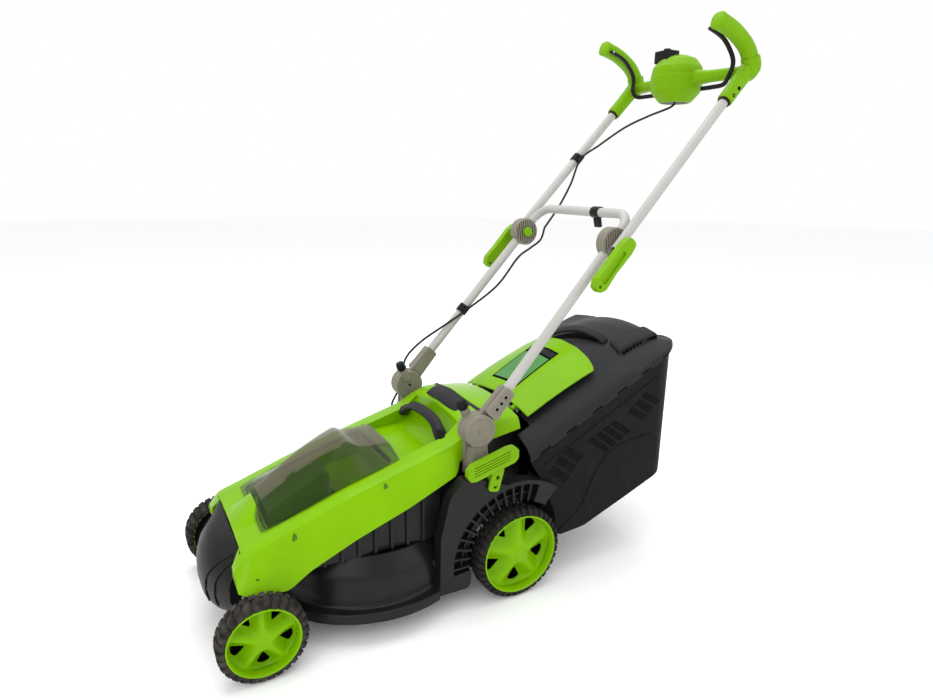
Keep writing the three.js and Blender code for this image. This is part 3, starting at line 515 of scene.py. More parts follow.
def dish(centre, side, edge, half):
    """The wheel's face: five wide spokes that bulge between five rounded openings."""
    cx, cy, cz = centre
    low, high = 0.5 * edge, 0.86 * edge
    radii = [0.12 * edge, 0.2 * edge, 0.3 * edge, 0.4 * edge, low]
    radii += [mix(low, high, t) for t in (0.12, 0.25, 0.4, 0.55, 0.7, 0.83, 0.93, 1.0)]
    radii += [0.92 * edge, 0.96 * edge]

    def opening(r):
        t = (r - low) / (high - low)
        if t <= 0 or t >= 1:
            return 0.0
        return OPENING_TURN * min(1.0, (1.1 * t) ** 0.62) * min(1.0, (1.0 - t) * 7) ** 0.5

    across = 8
    index = {}
    verts, faces = [], []

    def vertex(ring, column):
        """column counts half-spokes: even ones run from a spoke's middle to the next opening."""
        key = (ring, column)
        if key not in index:
            r = radii[ring]
            sector, step = divmod(column, 2 * across)
            u = step / across
            gap = opening(r)
            if u <= 1:
                turn = u * (math.pi / 5 - gap)
                fall = smooth_step(u)
            else:
                turn = 2 * math.pi / 5 - (2 - u) * (math.pi / 5 - gap)
                fall = smooth_step(2 - u)
            if step == across and gap > 0:
                turn = math.pi / 5 - gap
            a = sector * 2 * math.pi / 5 + turn + SPOKE_START
            bowl = mix(half - 3, half - 12, smooth_step(r / edge))
            sunk = smooth_step((r / edge - 0.22) / 0.3)
            raised = 0.5 * smooth_step((r / edge - 0.86) / 0.1)
            depth = DISH_DEPTH * fall * sunk * (1 - raised)
            index[key] = len(verts)
            verts.append((cx + side * (bowl - depth), cy + r * math.cos(a), cz + r * math.sin(a)))
        return index[key]

    columns = 5 * 2 * across
    split = {}

    def far_side(ring, column):
        """The opening's other edge, where the column's line is in two."""
        r = radii[ring]
        gap = opening(r)
        if column % (2 * across) != across or gap == 0:
            return vertex(ring, column % columns)
        key = (ring, column % columns)
        if key not in split:
            near = verts[vertex(*key)]
            sector = (column % columns) // (2 * across)
            a = sector * 2 * math.pi / 5 + math.pi / 5 + gap + SPOKE_START
            split[key] = len(verts)
            verts.append((near[0], cy + r * math.cos(a), cz + r * math.sin(a)))
        return split[key]

    for ring in range(len(radii) - 1):
        for column in range(columns):
            after = (column + 1) % columns
            quad = [far_side(ring, column), vertex(ring, after)]
            quad += [vertex(ring + 1, after), far_side(ring + 1, column)]
            faces.append(tuple(dict.fromkeys(quad)))
    return verts, faces


def rim(name, centre, side, edge, half):
    outer = edge - 0.3
    body = name.replace("rim", "wheel")

    def part(profile, sides):
        """A turned part; its profile's second number grows towards the wheel's outer face."""
        return turned([(r, side * h) for r, h in profile], centre, sides=sides)

    barrel = part(rounded([
        (outer - 3, 3 - half), (outer, 3 - half), (outer, half + 0.8), (outer - 2.6, half + 0.8),
        (outer - 4.5, half - 4), (outer - 6, half - 13), (outer - 4, half - 16),
    ], 0.9, 3), 96)
    cap = part([(0.01, half - 2.2), (0.07 * edge, half - 2.2), (0.15 * edge, half - 4.5),
                (0.16 * edge, half - 10), (0.01, half - 10)], 48)
    boss = part([(7, half - 9), (14, half - 9), (12.5, 1 - half), (7, 1 - half)], 32)
    face = object_of(name + "_face", [dish(centre, side, edge, half)], LIME)
    thick = face.modifiers.new("thick", "SOLIDIFY")
    thick.thickness = 0.003
    thick.offset = -1
    smooth = face.modifiers.new("smooth", "SUBSURF")
    smooth.levels = smooth.render_levels = 1
    finish_piece(face, body, [name], sharp=60)
    # painted shade: a near-black plate closes the rim's back, standing in for the shade seen through the
    # openings
    back = part([(7, 2.5 - half), (outer - 2, 2.5 - half), (outer - 2, 4 - half), (7, 4 - half)], 64)
    piece(name + "_back", [back], NEAR_BLACK_AND_PAINTED_SHADE, body, slot="lime_gloss", sharp=40)
    piece(name + "_barrel", [barrel, cap, boss], LIME, body, sharp=40)


for end, radius, rim_edge, width, lugs in (("front", 76, 62.5, 40, 30), ("rear", 95, 82, 44, 38)):
    for side_name, side in SIDES:
        centre = pivot(f"{end}_{side_name}_wheel_spin")
        rubber = DUSTY_TREAD if end == "front" else TREAD
        tyre(f"{end}_{side_name}_tyre", centre, radius, rim_edge, width, rubber, lugs)
        rim(f"{end}_{side_name}_rim", centre, side, rim_edge, width / 2)


# ---- top cover ----
CREASE = ((-515, 194), (-324, 263), (-96, 330))


def between(table, y, column):
    """A value from a table of rows that start with y, rounded off at the rows."""
    def straight(v):
        if v <= table[0][0]:
            return table[0][column]
        for a, b in zip(table, table[1:]):
            if v <= b[0]:
                return mix(a[column], b[column], (v - a[0]) / (b[0] - a[0]))
        return table[-1][column]
    soft = 7
    low, high = table[0][0], table[-1][0]
    reach = min(soft, y - low, high - y)
    if reach <= 0:
        return straight(y)
    return (straight(y - reach) + 2 * straight(y) + straight(y + reach)) / 4


def row_at(table, y):
    """Every value of a table at y."""
    return [between(table, y, column) for column in range(1, len(table[0]))]


def crease(y):
    return between(CREASE, y, 1)


# y, half width and height of the crease, half width and height of the lower edge, height of the middle
COVER = (
    (-531, 141, 170, 172, 149, 172),
    (-515, 142, 194, 176, 140, 196),
    (-480, 140, 206.6, 176, 134, 208),
    (-448, 140, 218.2, 176, 133, 220),
    (-411, 140, 231.6, 175.5, 158, 234),
    (-324, 140, 263, 175, 196, 266),
    (-222, 140, 293, 175, 233, 297),
    (-120, 140, 323, 172.5, 277, 326),
    (-108, 138.5, 328, 150, 292, 333),
    (-80, 136, 346, 145, 302, 366),
    (-45, 133, 360, 142, 318, 383),
    (38, 130, 354, 140, 331, 371),
)


def cover_section(y, inset):
    half_top, top, half_low, low, middle = row_at(COVER, y)
    half = [
        (half_low - inset, low - (30 if inset else 0)),
        (mix(half_low, half_top, 0.30) - inset + 0.5, mix(low, top, 0.34)),
        (mix(half_low, half_top, 0.72) - inset + 1.0, mix(low, top, 0.74)),
        (half_top + 2.6 - inset, top - 5.5 - inset * 0.5),
        (half_top + 0.4 - inset, top - 1.6 - inset * 0.8),
        (half_top - 3.5 - inset, top - 0.2 - inset),
    ]
    for u in (0.8, 0.6, 0.4, 0.2):
        half.append(((half_top - 4) * u, top + (middle - top) * (1 - u * u) - inset))
    return both_halves(half, y, middle - inset)


def cover_body(inset, first, last):
    stations = [first, first + 5, first + 11]
    y = first + 18
    while y < last - 3:
        stations.append(y)
        y += 9
    stations.append(last)
    return loft([cover_section(y, inset) for y in stations])


def box_shell(low, high, radius=0.0):
    x0, y0, z0 = low
    x1, y1, z1 = high
    plan = [(x0, y0), (x1, y0), (x1, y1), (x0, y1)]
    return slab(rounded(plan, radius, 5) if radius else plan, z0, z1)


def well(half, deeper):
    """The recess for a hand under the carrying handle, with rounded corners in plan and a soft floor."""
    outline = [(-205 - deeper, 286 - deeper), (-130, 292 - deeper), (-96 + deeper, 318),
               (-84 + deeper, 345), (-78, 440), (-205 - deeper, 440)]
    outline = rounded(outline, [8, 20, 14, 0, 0, 0], 5)
    return prism(outline, -half, half)


COVER_WALL = 3.2


def top_cover():
    """The cover's shell, open over the battery, for the hand and round the nose."""
    room = object_of("cover_room", [cover_body(COVER_WALL, -528, 35)], LIME)
    carve(room, [well(101, 3)])
    cover = hollow(object_of("top_cover_shell", [cover_body(0, -531, 38)], LIME), room)
    nose_way = [(-118, -600), (118, -600), (118, -530), (100, -514), (-100, -514), (-118, -530)]
    carve(cover, [well(98, 0)], [box_shell((-100, -468, 150), (100, -222, 420), 16)],
          [slab(rounded(nose_way, 6, 4), 100, 260)])
    finish_piece(cover, "deck", ["top_cover"], sharp=34, bevel=1.6, segments=3)


RAMP_FRONT, RAMP_BACK = -514, -468.3
RAMP_STEPS = 12


def cover_ramp():
    """The tongue that climbs from the cover's front to the hatch."""
    rings = []
    for i in range(RAMP_STEPS + 1):
        t = i / RAMP_STEPS
        y = mix(RAMP_FRONT, RAMP_BACK, t)
        top = mix(196, 233, t)
        foot = crease(y) - 3
        half = [(61, foot), (58, foot + 2.6), (42, mix(foot, top, 0.5) + 1.5), (25, top - 1.6),
                (20, top - 0.3)]
        rings.append(both_halves(half, y, top))
    piece("cover_ramp", [loft(rings)], LIME, "deck", sharp=34, bevel=0.8)


def on_flank(y, drop):
    """A point on the cover's flank, drop millimetres under the crease."""
    half_top, top, half_low, low, _ = row_at(COVER, y)
    t = drop / (top - low)
    return mix(half_top, half_low, t) + 1.0, y, top - drop


def flank_marks(name, side):
    """Two shallow oval dimples and a screw on the cover's flank; their darker lime is painted shade."""
    dimples = []
    for y in (-428, -258):
        rings = []
        for grow, out in ((1.0, -2.2), (1.0, 0.2), (0.7, 0.3)):
            ring = [on_flank(y + 5.2 * a * grow, 20 - 14 * b * grow) for a, b in circle(1.0, 20)]
            rings.append([(px + out, py, pz) for px, py, pz in ring])
        dimples.append(loft(rings))
    piece(f"{name}_cover_dimples", on(side, *dimples), LIME_PAINTED_SHADE, "deck", sharp=50)
    screw = turned([(0.01, -2), (3.4, -2), (3.4, 0.7), (0.01, 0.7)], on_flank(-498, 40), sides=24)
    piece(f"{name}_cover_screw", on(side, screw), LIME_PAINTED_SHADE, "deck")


top_cover()
cover_ramp()
for side_name, side in SIDES:
    flank_marks(side_name, side)


# ---- battery hatch: clear smoked walls with a flat crest ----
# y, height of the lower edge over the cover, half width there, rise of the crest, its half width
HATCH = (
    (-476, 3, 100, 9, 22), (-467, 2.5, 103, 24, 23), (-452, 2, 104, 29, 24), (-394, 1, 106, 48, 30),
    (-355, 1, 106, 56, 34), (-295, 1, 106, 60, 44), (-277, 1, 106, 41, 55), (-249, 1, 106, 31, 57),
    (-212, 2, 104, 19, 57),
)


def hatch_section(y):
    base, half_base, rise, half_top = row_at(HATCH, y)
    ground = crease(y) + 1
    low, high = ground + base, ground + rise
    half = [
        (half_base, low), (half_base - 0.6, mix(low, high, 0.12)),
        (mix(half_base, half_top, 0.50) + 1.2, mix(low, high, 0.52)),
        (mix(half_base, half_top, 0.92) + 0.6, mix(low, high, 0.93)),
        (half_top, high - 1.0), (half_top - 3, high - 0.5), (half_top * 0.5, high - 0.2),
    ]
    return both_halves(half, y, high)


def battery_hatch():
    """A thin smoked sheet with a wall at each end; the crest's flat top is of a paler plastic."""
    front, back = HATCH[0][0], HATCH[-1][0]
    stations = [*range(front, back, 8), back]
    sheet = loft([hatch_section(y) for y in stations], closed=False, caps=False)
    ends = [hatch_section(y) for y in (front, back)]
    walls = [(end, [tuple(range(len(end)))]) for end in ends]
    hatch = object_of("battery_hatch_window", [sheet, *walls], SMOKE)
    hatch.data.materials.append(SMOKE_TOP)
    for face in hatch.data.polygons:
        if face.normal.z > 0.8 and abs(face.center.x) < 0.045:
            face.material_index = 1
    wall = hatch.modifiers.new("wall", "SOLIDIFY")
    wall.thickness, wall.offset = 0.0022, -1
    finish_piece(hatch, "battery_hatch", ["battery_hatch"], sharp=30)


battery_hatch()


# ---- nose ----
NOSE_STATIONS = (0, 20, 40, 60, 80, 100, 113, 116)


def nose_profile(x):
    """The nose's side view at x; back is how far the nose has swept back there."""
    back = 40 * (x / 118) ** 2
    points = [
        (-515.5, 192), (-534 + back * 0.5, 188), (-553 + back, 177 - back * 0.2),
        (-569 + back, 155 - back * 0.2), (-576.5 + back, 129), (-577 + back, 100),
        (-572 + back, 70 + back / 2), (-560 + back * 0.8, 50 + back * 0.9), (-546 + back / 2, 41 + back),
        (-519, 41 + back), (-519, 90), (-519, 150),
    ]
    return [(x, y, z) for y, z in points]


def nose_rib(side, start, reach, steps=12):
    """A thin raised line that curves down the nose's front, from x = start inwards by reach."""
    path = []
    for i in range(steps + 1):
        t = i / steps
        x = start - reach * math.sin(t * math.pi / 2)
        front = spline([p[1:] for p in nose_profile(x)][1:8], 8)
        y, z = front[int(mix(6, len(front) - 8, t))]
        path.append((side * x, y - 0.4, z))
    return sweep(path, circle(1.5, 8))


def nose():
    rings = [nose_profile(x) for x in [-x for x in NOSE_STATIONS[:0:-1]] + list(NOSE_STATIONS)]
    piece("nose_panel", [loft(rings)], BLACK, "deck", ["front_panel"], sharp=45, bevel=2.0, segments=3)
    ribs = [nose_rib(side, *line) for side in (1, -1) for line in ((104, 26), (92, 46))]
    piece("nose_ribs", ribs, BLACK, "deck", sharp=50)


nose()


# ---- deck ----
DECK_R, DECK_WALL, LEDGE, SKIRT, DECK_RIM = 221, 200, 63, 45, 150


def deck():
    outside = fillet([
        (DECK_R, SKIRT), (DECK_R, LEDGE), (DECK_WALL, LEDGE + 1), (DECK_WALL - 1, 86), (DECK_WALL - 8, 118),
        (DECK_WALL - 22, 139), (DECK_WALL - 29, DECK_RIM), (DECK_WALL - 34, DECK_RIM),
    ], [0, 4, 8, 40, 40, 20, 3, 0], 7)
    inside = [
        (DECK_WALL - 34, 138), (12, 138), (12, 134), (DECK_WALL - 38, 134), (DECK_WALL - 20, 128),
        (DECK_WALL - 8, 104), (DECK_WALL - 4, LEDGE - 4), (DECK_R - 4, LEDGE - 4), (DECK_R - 4, SKIRT),
    ]
    made = object_of("deck_housing", [turned(outside + inside, (0, DECK_Y, 0), "z", 128)], DECK_BLACK)
    ways = [mirror(box_shell((171.5, -176.5, 40), (DECK_R + 12, 0, 160)), side) for side in (1, -1)]
    carve(made, [box_shell((-98, -190, 100), (98, -50, 151))], [ways[0]], [ways[1]])
    finish_piece(made, "deck", ["deck_shell"], sharp=50, bevel=0.8)
    shells = []
    for side in (1, -1):
        # a bearing block for each axle
        shells.append(mirror(box_shell((28, -542, 54), (38, -446, 90), 3), side))
        shells.append(mirror(box_shell((136, -100, 50), (146, -21, 112), 3), side))
    piece("deck_bearings", shells, DECK_BLACK, "deck", sharp=50, bevel=0.8)


deck()


ARCH_INNER, ARCH_OUTER = 172, 200
REAR_AXLE = pivot("rear_left_wheel_spin")[1:]


def ring_sector(inner, outer, start, stop, steps=24):
    """[y, z] points of a band round the rear axle, its angles in degrees from the back."""
    turns = [math.radians(mix(start, stop, i / steps)) for i in range(steps + 1)]
    return [along(REAR_AXLE, a, inner) for a in turns] + [along(REAR_AXLE, a, outer) for a in reversed(turns)]


def wheel_arch(name, side):
    """The guard in front of a rear wheel: a smooth band, then a deep channel crossed by thin ribs."""
    crown = [along(REAR_AXLE, math.radians(a), 152) for a in range(100, 51, -4)]
    outline = fillet([(-173, 46), (-171, 166), (-152, 244), (-121, 275), (-84, 268)], [0, 60, 40, 12, 0], 8)
    outline += crown + [(62, 180), (80, 150), (70, 120), (-60, 120), (-112, 46)]
    arch = object_of(f"{name}_arch_guard", [mirror(prism(outline, ARCH_INNER, ARCH_OUTER), side)], DECK_BLACK)
    wheel_way = rod((160, *REAR_AXLE), (210, *REAR_AXLE), 107, 96)
    channel = prism(ring_sector(100, 143, 70, 186), ARCH_OUTER - 14, ARCH_OUTER + 4)
    below = box_shell((160, -106, 30), (210, 60, 95))
    carve(arch, on(side, wheel_way), on(side, below), on(side, channel))
    finish_piece(arch, "deck", [f"{name}_wheel_arch"], sharp=40, bevel=0.8)
    ribs = []
    for i in range(13):
        middle = 78 + 8.6 * i
        rib = ring_sector(108, 144, middle - 0.9, middle + 0.9, 1)
        ribs.append(prism(rib, ARCH_OUTER - 15, ARCH_OUTER - 1))
    ribs.append(prism(ring_sector(123, 125.5, 74, 184), ARCH_OUTER - 15, ARCH_OUTER - 6))
    piece(f"{name}_arch_ribs", on(side, *ribs), DECK_BLACK, "deck", sharp=40)


for side_name, side in SIDES:
    wheel_arch(side_name, side)


# ---- covers and panels at the back ----
FLAP_SWELL = 3.5
# x, front y and z, back y and z
FLAP_HALF = (
    (0, 61.5, 369, 236, 466), (60, 61.5, 364, 236, 460), (100, 61.5, 358, 236, 446),
    (124, 61.5, 352, 233, 431), (130, 61.5, 350.5, 228, 428),
)
FLAP = tuple((-x, *edges) for x, *edges in FLAP_HALF[:0:-1]) + FLAP_HALF


def flap_sheet(xs, ts, rows, columns, lift, thick):
    """A sheet over the flap from xs[0] to xs[1]; ts tells how far back it starts and ends, from 0 to 1."""
    rings = []
    for c in range(columns + 1):
        x = mix(*xs, c / columns)
        front_y, front_z, back_y, back_z = row_at(FLAP, x)
        line = []
        for r in range(rows + 1):
            t = mix(*ts, r / rows)
            swell = FLAP_SWELL * math.sin(math.pi * t)
            line.append((x, mix(front_y, back_y, t), mix(front_z, back_z, t) + swell + lift))
        rings.append(line + [(px, py, pz - thick) for px, py, pz in reversed(line)])
    return loft(rings)


def rear_flap():
    half = FLAP[-1][0]
    lug = rounded([(54.5, 347), (58, 344), (64, 345.5), (69, 355), (69, 362), (61.8, 359), (54.5, 353)],
                 2, 3)
    lugs = [mirror(prism(lug, 74, 84), side) for side in (1, -1)]
    sheet = flap_sheet((-half, half), (0, 1), 18, 28, 0, 3.6)
    piece("rear_flap_shell", [sheet, *lugs], LIME, "rear_flap", ["rear_flap"],
          sharp=40, bevel=1.3, segments=3)
    # a plain label with a dark frame, and a dark strip under it
    for name, mat, xs, ts, lift in (
        ("label_frame", NEAR_BLACK_AND_PAINTED_SHADE, (-62, 40), (0.80, 0.16), 0.35),
        ("label_face", LABEL, (-58, 36), (0.66, 0.19), 0.6),
        ("label_strip", BLACK, (-58, 36), (0.77, 0.69), 0.6),
    ):
        piece(name, [flap_sheet(xs, ts, 10, 14, lift, lift + 0.8)], mat, "rear_flap", slot=None, sharp=50)


rear_flap()


def name_plate():
    """A dark blank band across the back of the top, its ends curved back."""
    rings = []
    half = 104
    for i in range(33):
        x = mix(-half, half, i / 32)
        bow = abs(x) / half
        fall = 17 * bow ** 1.4
        back = 16 * bow ** 2.2
        low, high = (-80 + back, 371.5 - fall), (-47 + back, 386 - fall)
        rings.append([
            (x, low[0], low[1] - 4), (x, low[0] - 1.2, low[1] - 1), (x, low[0], low[1] + 1.4),
            (x, mix(low[0], high[0], 0.5), mix(low[1], high[1], 0.5) + 2.6),
            (x, high[0], high[1] + 1.4), (x, high[0] + 1.2, high[1] - 1), (x, high[0], high[1] - 4),
        ])
    piece("name_plate_band", [loft(rings)], CHARCOAL, "deck", ["name_plate"], sharp=50, bevel=0.6)


def carry_handle():
    half = [(97, -116, 318), (90, -116, 322), (76, -115, 331), (55, -113, 342), (28, -112, 346.5)]
    path = spline([(-x, y, z) for x, y, z in half] + [(0, -111.5, 347.5)] + half[::-1], 6)
    thick = [1 + 0.12 * smooth_step((abs(p[0]) - 60) / 25) for p in path]
    grip = sweep(path, circle(11.5, 24, 0.72), up=(0, -0.4, 1), scale=thick)
    collars = []
    for side in (1, -1):
        ends = spline([(99, -116, 318), (88, -116, 324), (79, -115.2, 330)], 4)
        run = [(side * x, y, z) for x, y, z in ends]
        collars.append(sweep(run, circle(10.6, 20), up=(0, -1, 1),
                             scale=[0.9, 0.98, 1, 1, 1, 1, 0.98, 0.93, 0.86]))
    piece("carry_handle_grip", [grip], CHARCOAL, "deck", ["carry_handle"], sharp=50)
    piece("carry_handle_ends", collars, BOX_BLACK, "deck", slot="charcoal_plastic", sharp=50)


name_plate()
carry_handle()


# ---- height lever ----
def height_lever():
    arm = prism([(-46, 196), (-30, 196), (-47, 262), (-62, 262)], 156.3, 162)
    reach = prism(rounded([(-62, 253), (-47, 253), (-47, 262), (-62, 262)], 2, 3), 156.3, 207)
    grip_line = rounded([
        (-122, 286), (-116, 276), (-104, 275), (-20, 297), (-12, 305), (-12, 321), (-20, 330),
        (-36, 329), (-112, 308), (-121, 299),
    ], 7, 5)
    grip = object_of("height_lever_grip", [prism(grip_line, 201, 213.5)], LIME_SATIN)
    cuts = []
    for i in range(4):
        low, high = 284 + 5.5 * i, 304.5 + 5.5 * i
        groove = [(-108, low), (-30, high), (-30, high + 2), (-108, low + 2)]
        cuts.append([prism(rounded(groove, 1, 2), 211, 216)])
    carve(grip, *cuts)
    finish_piece(grip, "rear_axle", ["height_lever"], sharp=40, bevel=1.6, segments=3)
    tab = object_of("height_lever_tab", [prism(rounded(
        [(-74, 246), (-52, 241), (-38, 292), (-66, 286)], 6, 4), 202.5, 208)], LIME_SATIN)
    carve(tab, [rod((198, -59, 253), (212, -59, 253), 4.5)], [rod((198, -54, 270), (212, -54, 270), 4.5)])
    finish_piece(tab, "rear_axle", sharp=40, bevel=0.8)
    piece("height_lever_arm", [arm, reach], LIME_SATIN, "rear_axle", sharp=40, bevel=0.8)


height_lever()


# ---- grass box ----
BOX_HALF, BOX_WALL = 184, 3
BOX_SIDE_LINES = (
    ((70, 262), (150, 300), (250, 352), (340, 398), (362, 409)),
    ((114, 104), (160, 136), (182, 170), (198, 206), (226, 244), (262, 268), (320, 275), (356, 280)),
)
BOX_BACK_LINES = (250, 290, 330, 370, 410)
CLIP_SLOTS = (70, 134, 198, 262, 326, 384)
# a bunch of vents: its corner, the way along the slots, the way across them, columns and rows
VENTS = (
    ((82, 240), (50, 57), (44, -32), 3, 9), ((180, 291), (76, 38), (48, -34), 4, 10),
    ((284, 338), (52, 44), (46, -26), 3, 9),
)
LID = (
    (36, 330, 322), (66, 348, 336), (150, 404, 378), (235, 456, 417), (300, 482, 446), (350, 496, 468),
    (395, 500, 477), (420, 494, 477), (438, 482, 472),
)


LID_CORNER = 70


def lid_narrow(y):
    """How much of its width the lid keeps where its back corners are rounded in plan."""
    past = max(0.0, y - (438 - LID_CORNER))
    return 1 - (LID_CORNER - math.sqrt(max(0.0, LID_CORNER ** 2 - past ** 2))) / LID_HALF


LID_WALL, LID_HALF, LID_STEPS = 3.2, 186, 44


def box_edge(y):
    return min(mix(272, 461, (y - 33) / 370), 464)


def lid_section(y, inset):
    middle, shoulder = row_at(LID, y)
    edge = box_edge(y)
    low = edge - 30 if inset else edge
    half = [
        (LID_HALF - inset, low), (LID_HALF - inset, edge + 7 - inset), (183 - inset, edge + 14 - inset),
        (168, mix(edge + 16, shoulder, 0.32) - inset), (140, mix(edge + 16, shoulder, 0.72) - inset),
        (118, shoulder + 1.5 - inset), (100, shoulder + (middle - shoulder) * 0.3 - inset),
    ]
    for u in (0.66, 0.4, 0.2):
        half.append((100 * u, middle - (middle - shoulder) * 0.7 * u * u - inset))
    half = [(x * lid_narrow(y), z) for x, z in half]
    return both_halves(half, y, middle - inset)


def lid_body(inset, first, last):
    """The lid's whole form; its sections stand closer towards the rounded back corners."""
    turns = [math.pi / 2 * i / LID_STEPS for i in range(LID_STEPS + 1)]
    return loft([lid_section(mix(first, last, math.sin(turn)), inset) for turn in turns])


def on_lid(x, y, lift=0.0):
    """A point on the lid's top over x, y."""
    line = lid_section(y, 0)
    for a, b in zip(line, line[1:]):
        if b[0] <= x <= a[0]:
            t = (a[0] - x) / (a[0] - b[0]) if a[0] != b[0] else 0
            return (x, y, mix(a[2], b[2], t) + lift)
    return (x, y, line[1][2] + lift)


def grass_box_lid():
    room = object_of("lid_room", [lid_body(LID_WALL, 30, 434)], CHARCOAL)
    lid = hollow(object_of("grass_box_lid_shell", [lid_body(0, 36, 438)], CHARCOAL), room)
    cuts = [[box_shell((-134, 0, 200), (134, 66, 600))]]
    # the clip slots along both lower edges
    for side in (1, -1):
        slots = []
        for y in CLIP_SLOTS:
            z = box_edge(y)
            slot = [(y - 13, z - 5), (y + 13, z + 8), (y + 13, z + 12.5), (y - 13, z - 0.5)]
            slots.append(prism(slot, 180, 190))
        cuts.append(on(side, *slots))
    carve(lid, *cuts)
    finish_piece(lid, "grass_box", ["grass_box_lid"], sharp=36, bevel=1.4, segments=3)


def lid_details():
    # the grip: a curved bar over a slot, the slot a near-black strip laid on the lid as painted shade
    slot_path = spline([(-96, 226), (-60, 243), (-10, 268), (40, 291), (66, 302)], 6)
    slot = [on_lid(x, y, 0.2) for x, y in slot_path]
    piece("lid_grip_slot", [sweep(slot, [(-13, -2), (13, -2), (13, 0.9), (-13, 0.9)], up=(0, -0.4, 1))], NEAR_BLACK_AND_PAINTED_SHADE,
          "grass_box", sharp=40, bevel=1.5)
    bar_path = spline([(-104, 214, 0), (-84, 226, 9), (-40, 247, 17), (10, 271, 19), (52, 290, 12),
                       (74, 302, 1)], 6)
    bar = [on_lid(x, y, lift) for x, y, lift in bar_path]
    piece("lid_grip_bar", [sweep(bar, rounded([(-10, -4), (10, -4), (10, 4), (-10, 4)], 3, 3),
                                 up=(0, -0.4, 1))], CHARCOAL, "grass_box", sharp=40)
    # a raised block near the far corner, ribbed on its side; its ribs are near-black as painted shade
    foot = [(84, 305), (122, 305), (128, 372), (122, 414), (84, 414)]
    raised = []
    for grow, lift in ((1.0, -6), (1.0, 7), (0.9, 11), (0.8, 12)):
        ring = rounded([(104 + (x - 104) * grow, 360 + (y - 360) * grow) for x, y in foot], 7, 4)
        raised.append([on_lid(x, y, lift) for x, y in ring])
    piece("lid_block", [loft(raised)], CHARCOAL, "grass_box", sharp=40, bevel=1.0)
    ribs = []
    for i in range(11):
        y = 314 + 9 * i
        x0, y0, z0 = on_lid(125, y, -3)
        ribs.append(box_shell((x0 - 3, y - 2, z0), (x0 + 2.4, y + 2, z0 + 9)))
    piece("lid_block_ribs", ribs, NEAR_BLACK_AND_PAINTED_SHADE, "grass_box", sharp=30)


grass_box_lid()
lid_details()


def box_outline():
    return rounded([
        (38, 271), (66, 228), (100, 150), (110, 92), (180, 98), (290, 140), (392, 180), (412, 208),
        (430, 440), (436, 463.7), (403, 460.7),
    ], [0, 8, 16, 14, 16, 30, 22, 20, 20, 0, 0], 6)


def vent_cluster(corner, along_way, across_way, columns, rows):
    """Outlines of fine slots through the side of the box, in a slanted bunch."""
    run, step = Vector(along_way) / columns, Vector(across_way) / rows
    wide = Vector((-run.y, run.x)).normalized() * 1.3
    made = []
    for column in range(columns):
        for row in range(rows):
            start = Vector(corner) + run * column + step * row
            stop = start + run * 0.74
            made.append([tuple(p) for p in (start - wide, stop - wide, stop + wide, start + wide)])
    return made


def box_back(z):
    """Where the slanted back of the box is."""
    return mix(412, 430, (z - 208) / 232)


def corner_cutter(inset, side):
    """What rounds an upright back corner of the box, wider towards the top."""
    rings = []
    for z in (160, 480):
        radius, back = mix(40, 70, (z - 180) / 280), box_back(z)
        x, y = BOX_HALF - radius, back - radius
        turns = [math.radians(9 * i) for i in range(11)]
        arc = [(x + (radius - inset) * math.cos(a), y + (radius - inset) * math.sin(a)) for a in turns]
        rings.append([(side * px, py, z) for px, py in arc + [(x, back + 30), (205, back + 30), (205, y)]])
    return loft(rings)


def grass_box_body():
    outer = object_of("grass_box_shell", [prism(box_outline(), -BOX_HALF, BOX_HALF)], BOX_BLACK)
    inside = rounded([
        (30, 600), (30, 232), (66, 232), (100, 152), (112, 96), (180, 101), (289, 143), (390, 183),
        (409, 209), (426, 440), (432, 600),
    ], [0, 0, 8, 14, 12, 14, 28, 20, 18, 18, 0], 5)
    room = object_of("grass_box_room", [prism(inside, BOX_WALL - BOX_HALF, BOX_HALF - BOX_WALL)], BOX_BLACK)
    carve(outer, [corner_cutter(0, 1)], [corner_cutter(0, -1)])
    hollow(outer, carve(room, [corner_cutter(3.2, 1)], [corner_cutter(3.2, -1)]))
    vents = []
    for bunch in VENTS:
        for outline in vent_cluster(*bunch):
            vents += [mirror(prism(outline, 176, 190), side) for side in (1, -1)]
    carve(outer, [box_shell((-134, 0, 0), (134, 66, 600))], [box_shell((-130, 0, 110), (130, 110, 600))],
          vents)
    finish_piece(outer, "grass_box", ["grass_box_body"], sharp=40, bevel=0.6)
    # raised curved lines pressed into the sides and the back
    lines = []
    for side in (1, -1):
        for points in BOX_SIDE_LINES:
            path = [(side * (BOX_HALF + 0.2), y, z) for y, z in spline(points, 8)]
            lines.append(sweep(path, circle(1.7, 8)))
    for z in BOX_BACK_LINES:
        y = box_back(z) + 0.4
        lines.append(rod((-112, y, z), (112, y, z), 2.2, 10))
    piece("grass_box_lines", lines, BOX_BLACK, "grass_box", sharp=60)


grass_box_body()


# ---- handle joints ----
LOWER_TUBE_X = (172, 161)
UPPER_TUBE_X = (184, 172)
DISC_R = 32
FOLD_DISC_R = 31
# from x to x, on the left
OUTER_CHEEK = (172, 184.5)
INNER_CHEEK = (147, 157.5)
SOCKET_DISC = (158.5, 171.6)
SOCKET_RAIL = (158.5, 184)
FOLD_DISC = (147.5, 172.2)
CAM_LEVER = (198, 215.5)
# how far up the socket its screws are
SOCKET_SCREWS = (52, 66, 80)


def lower_x(distance):
    return mix(*LOWER_TUBE_X, distance / LOWER_LENGTH)


def upper_x(distance):
    return mix(*UPPER_TUBE_X, distance / UPPER_LENGTH)


def lower_at(distance, off=0, x=None):
    """A point by the lower tube: x is its own when none is given."""
    return (lower_x(distance) if x is None else x, *along(LOWER, LOWER_ANGLE, distance, off))


def upper_at(distance, off=0, x=None):
    return (upper_x(distance) if x is None else x, *along(MIDDLE, UPPER_ANGLE, distance, off))


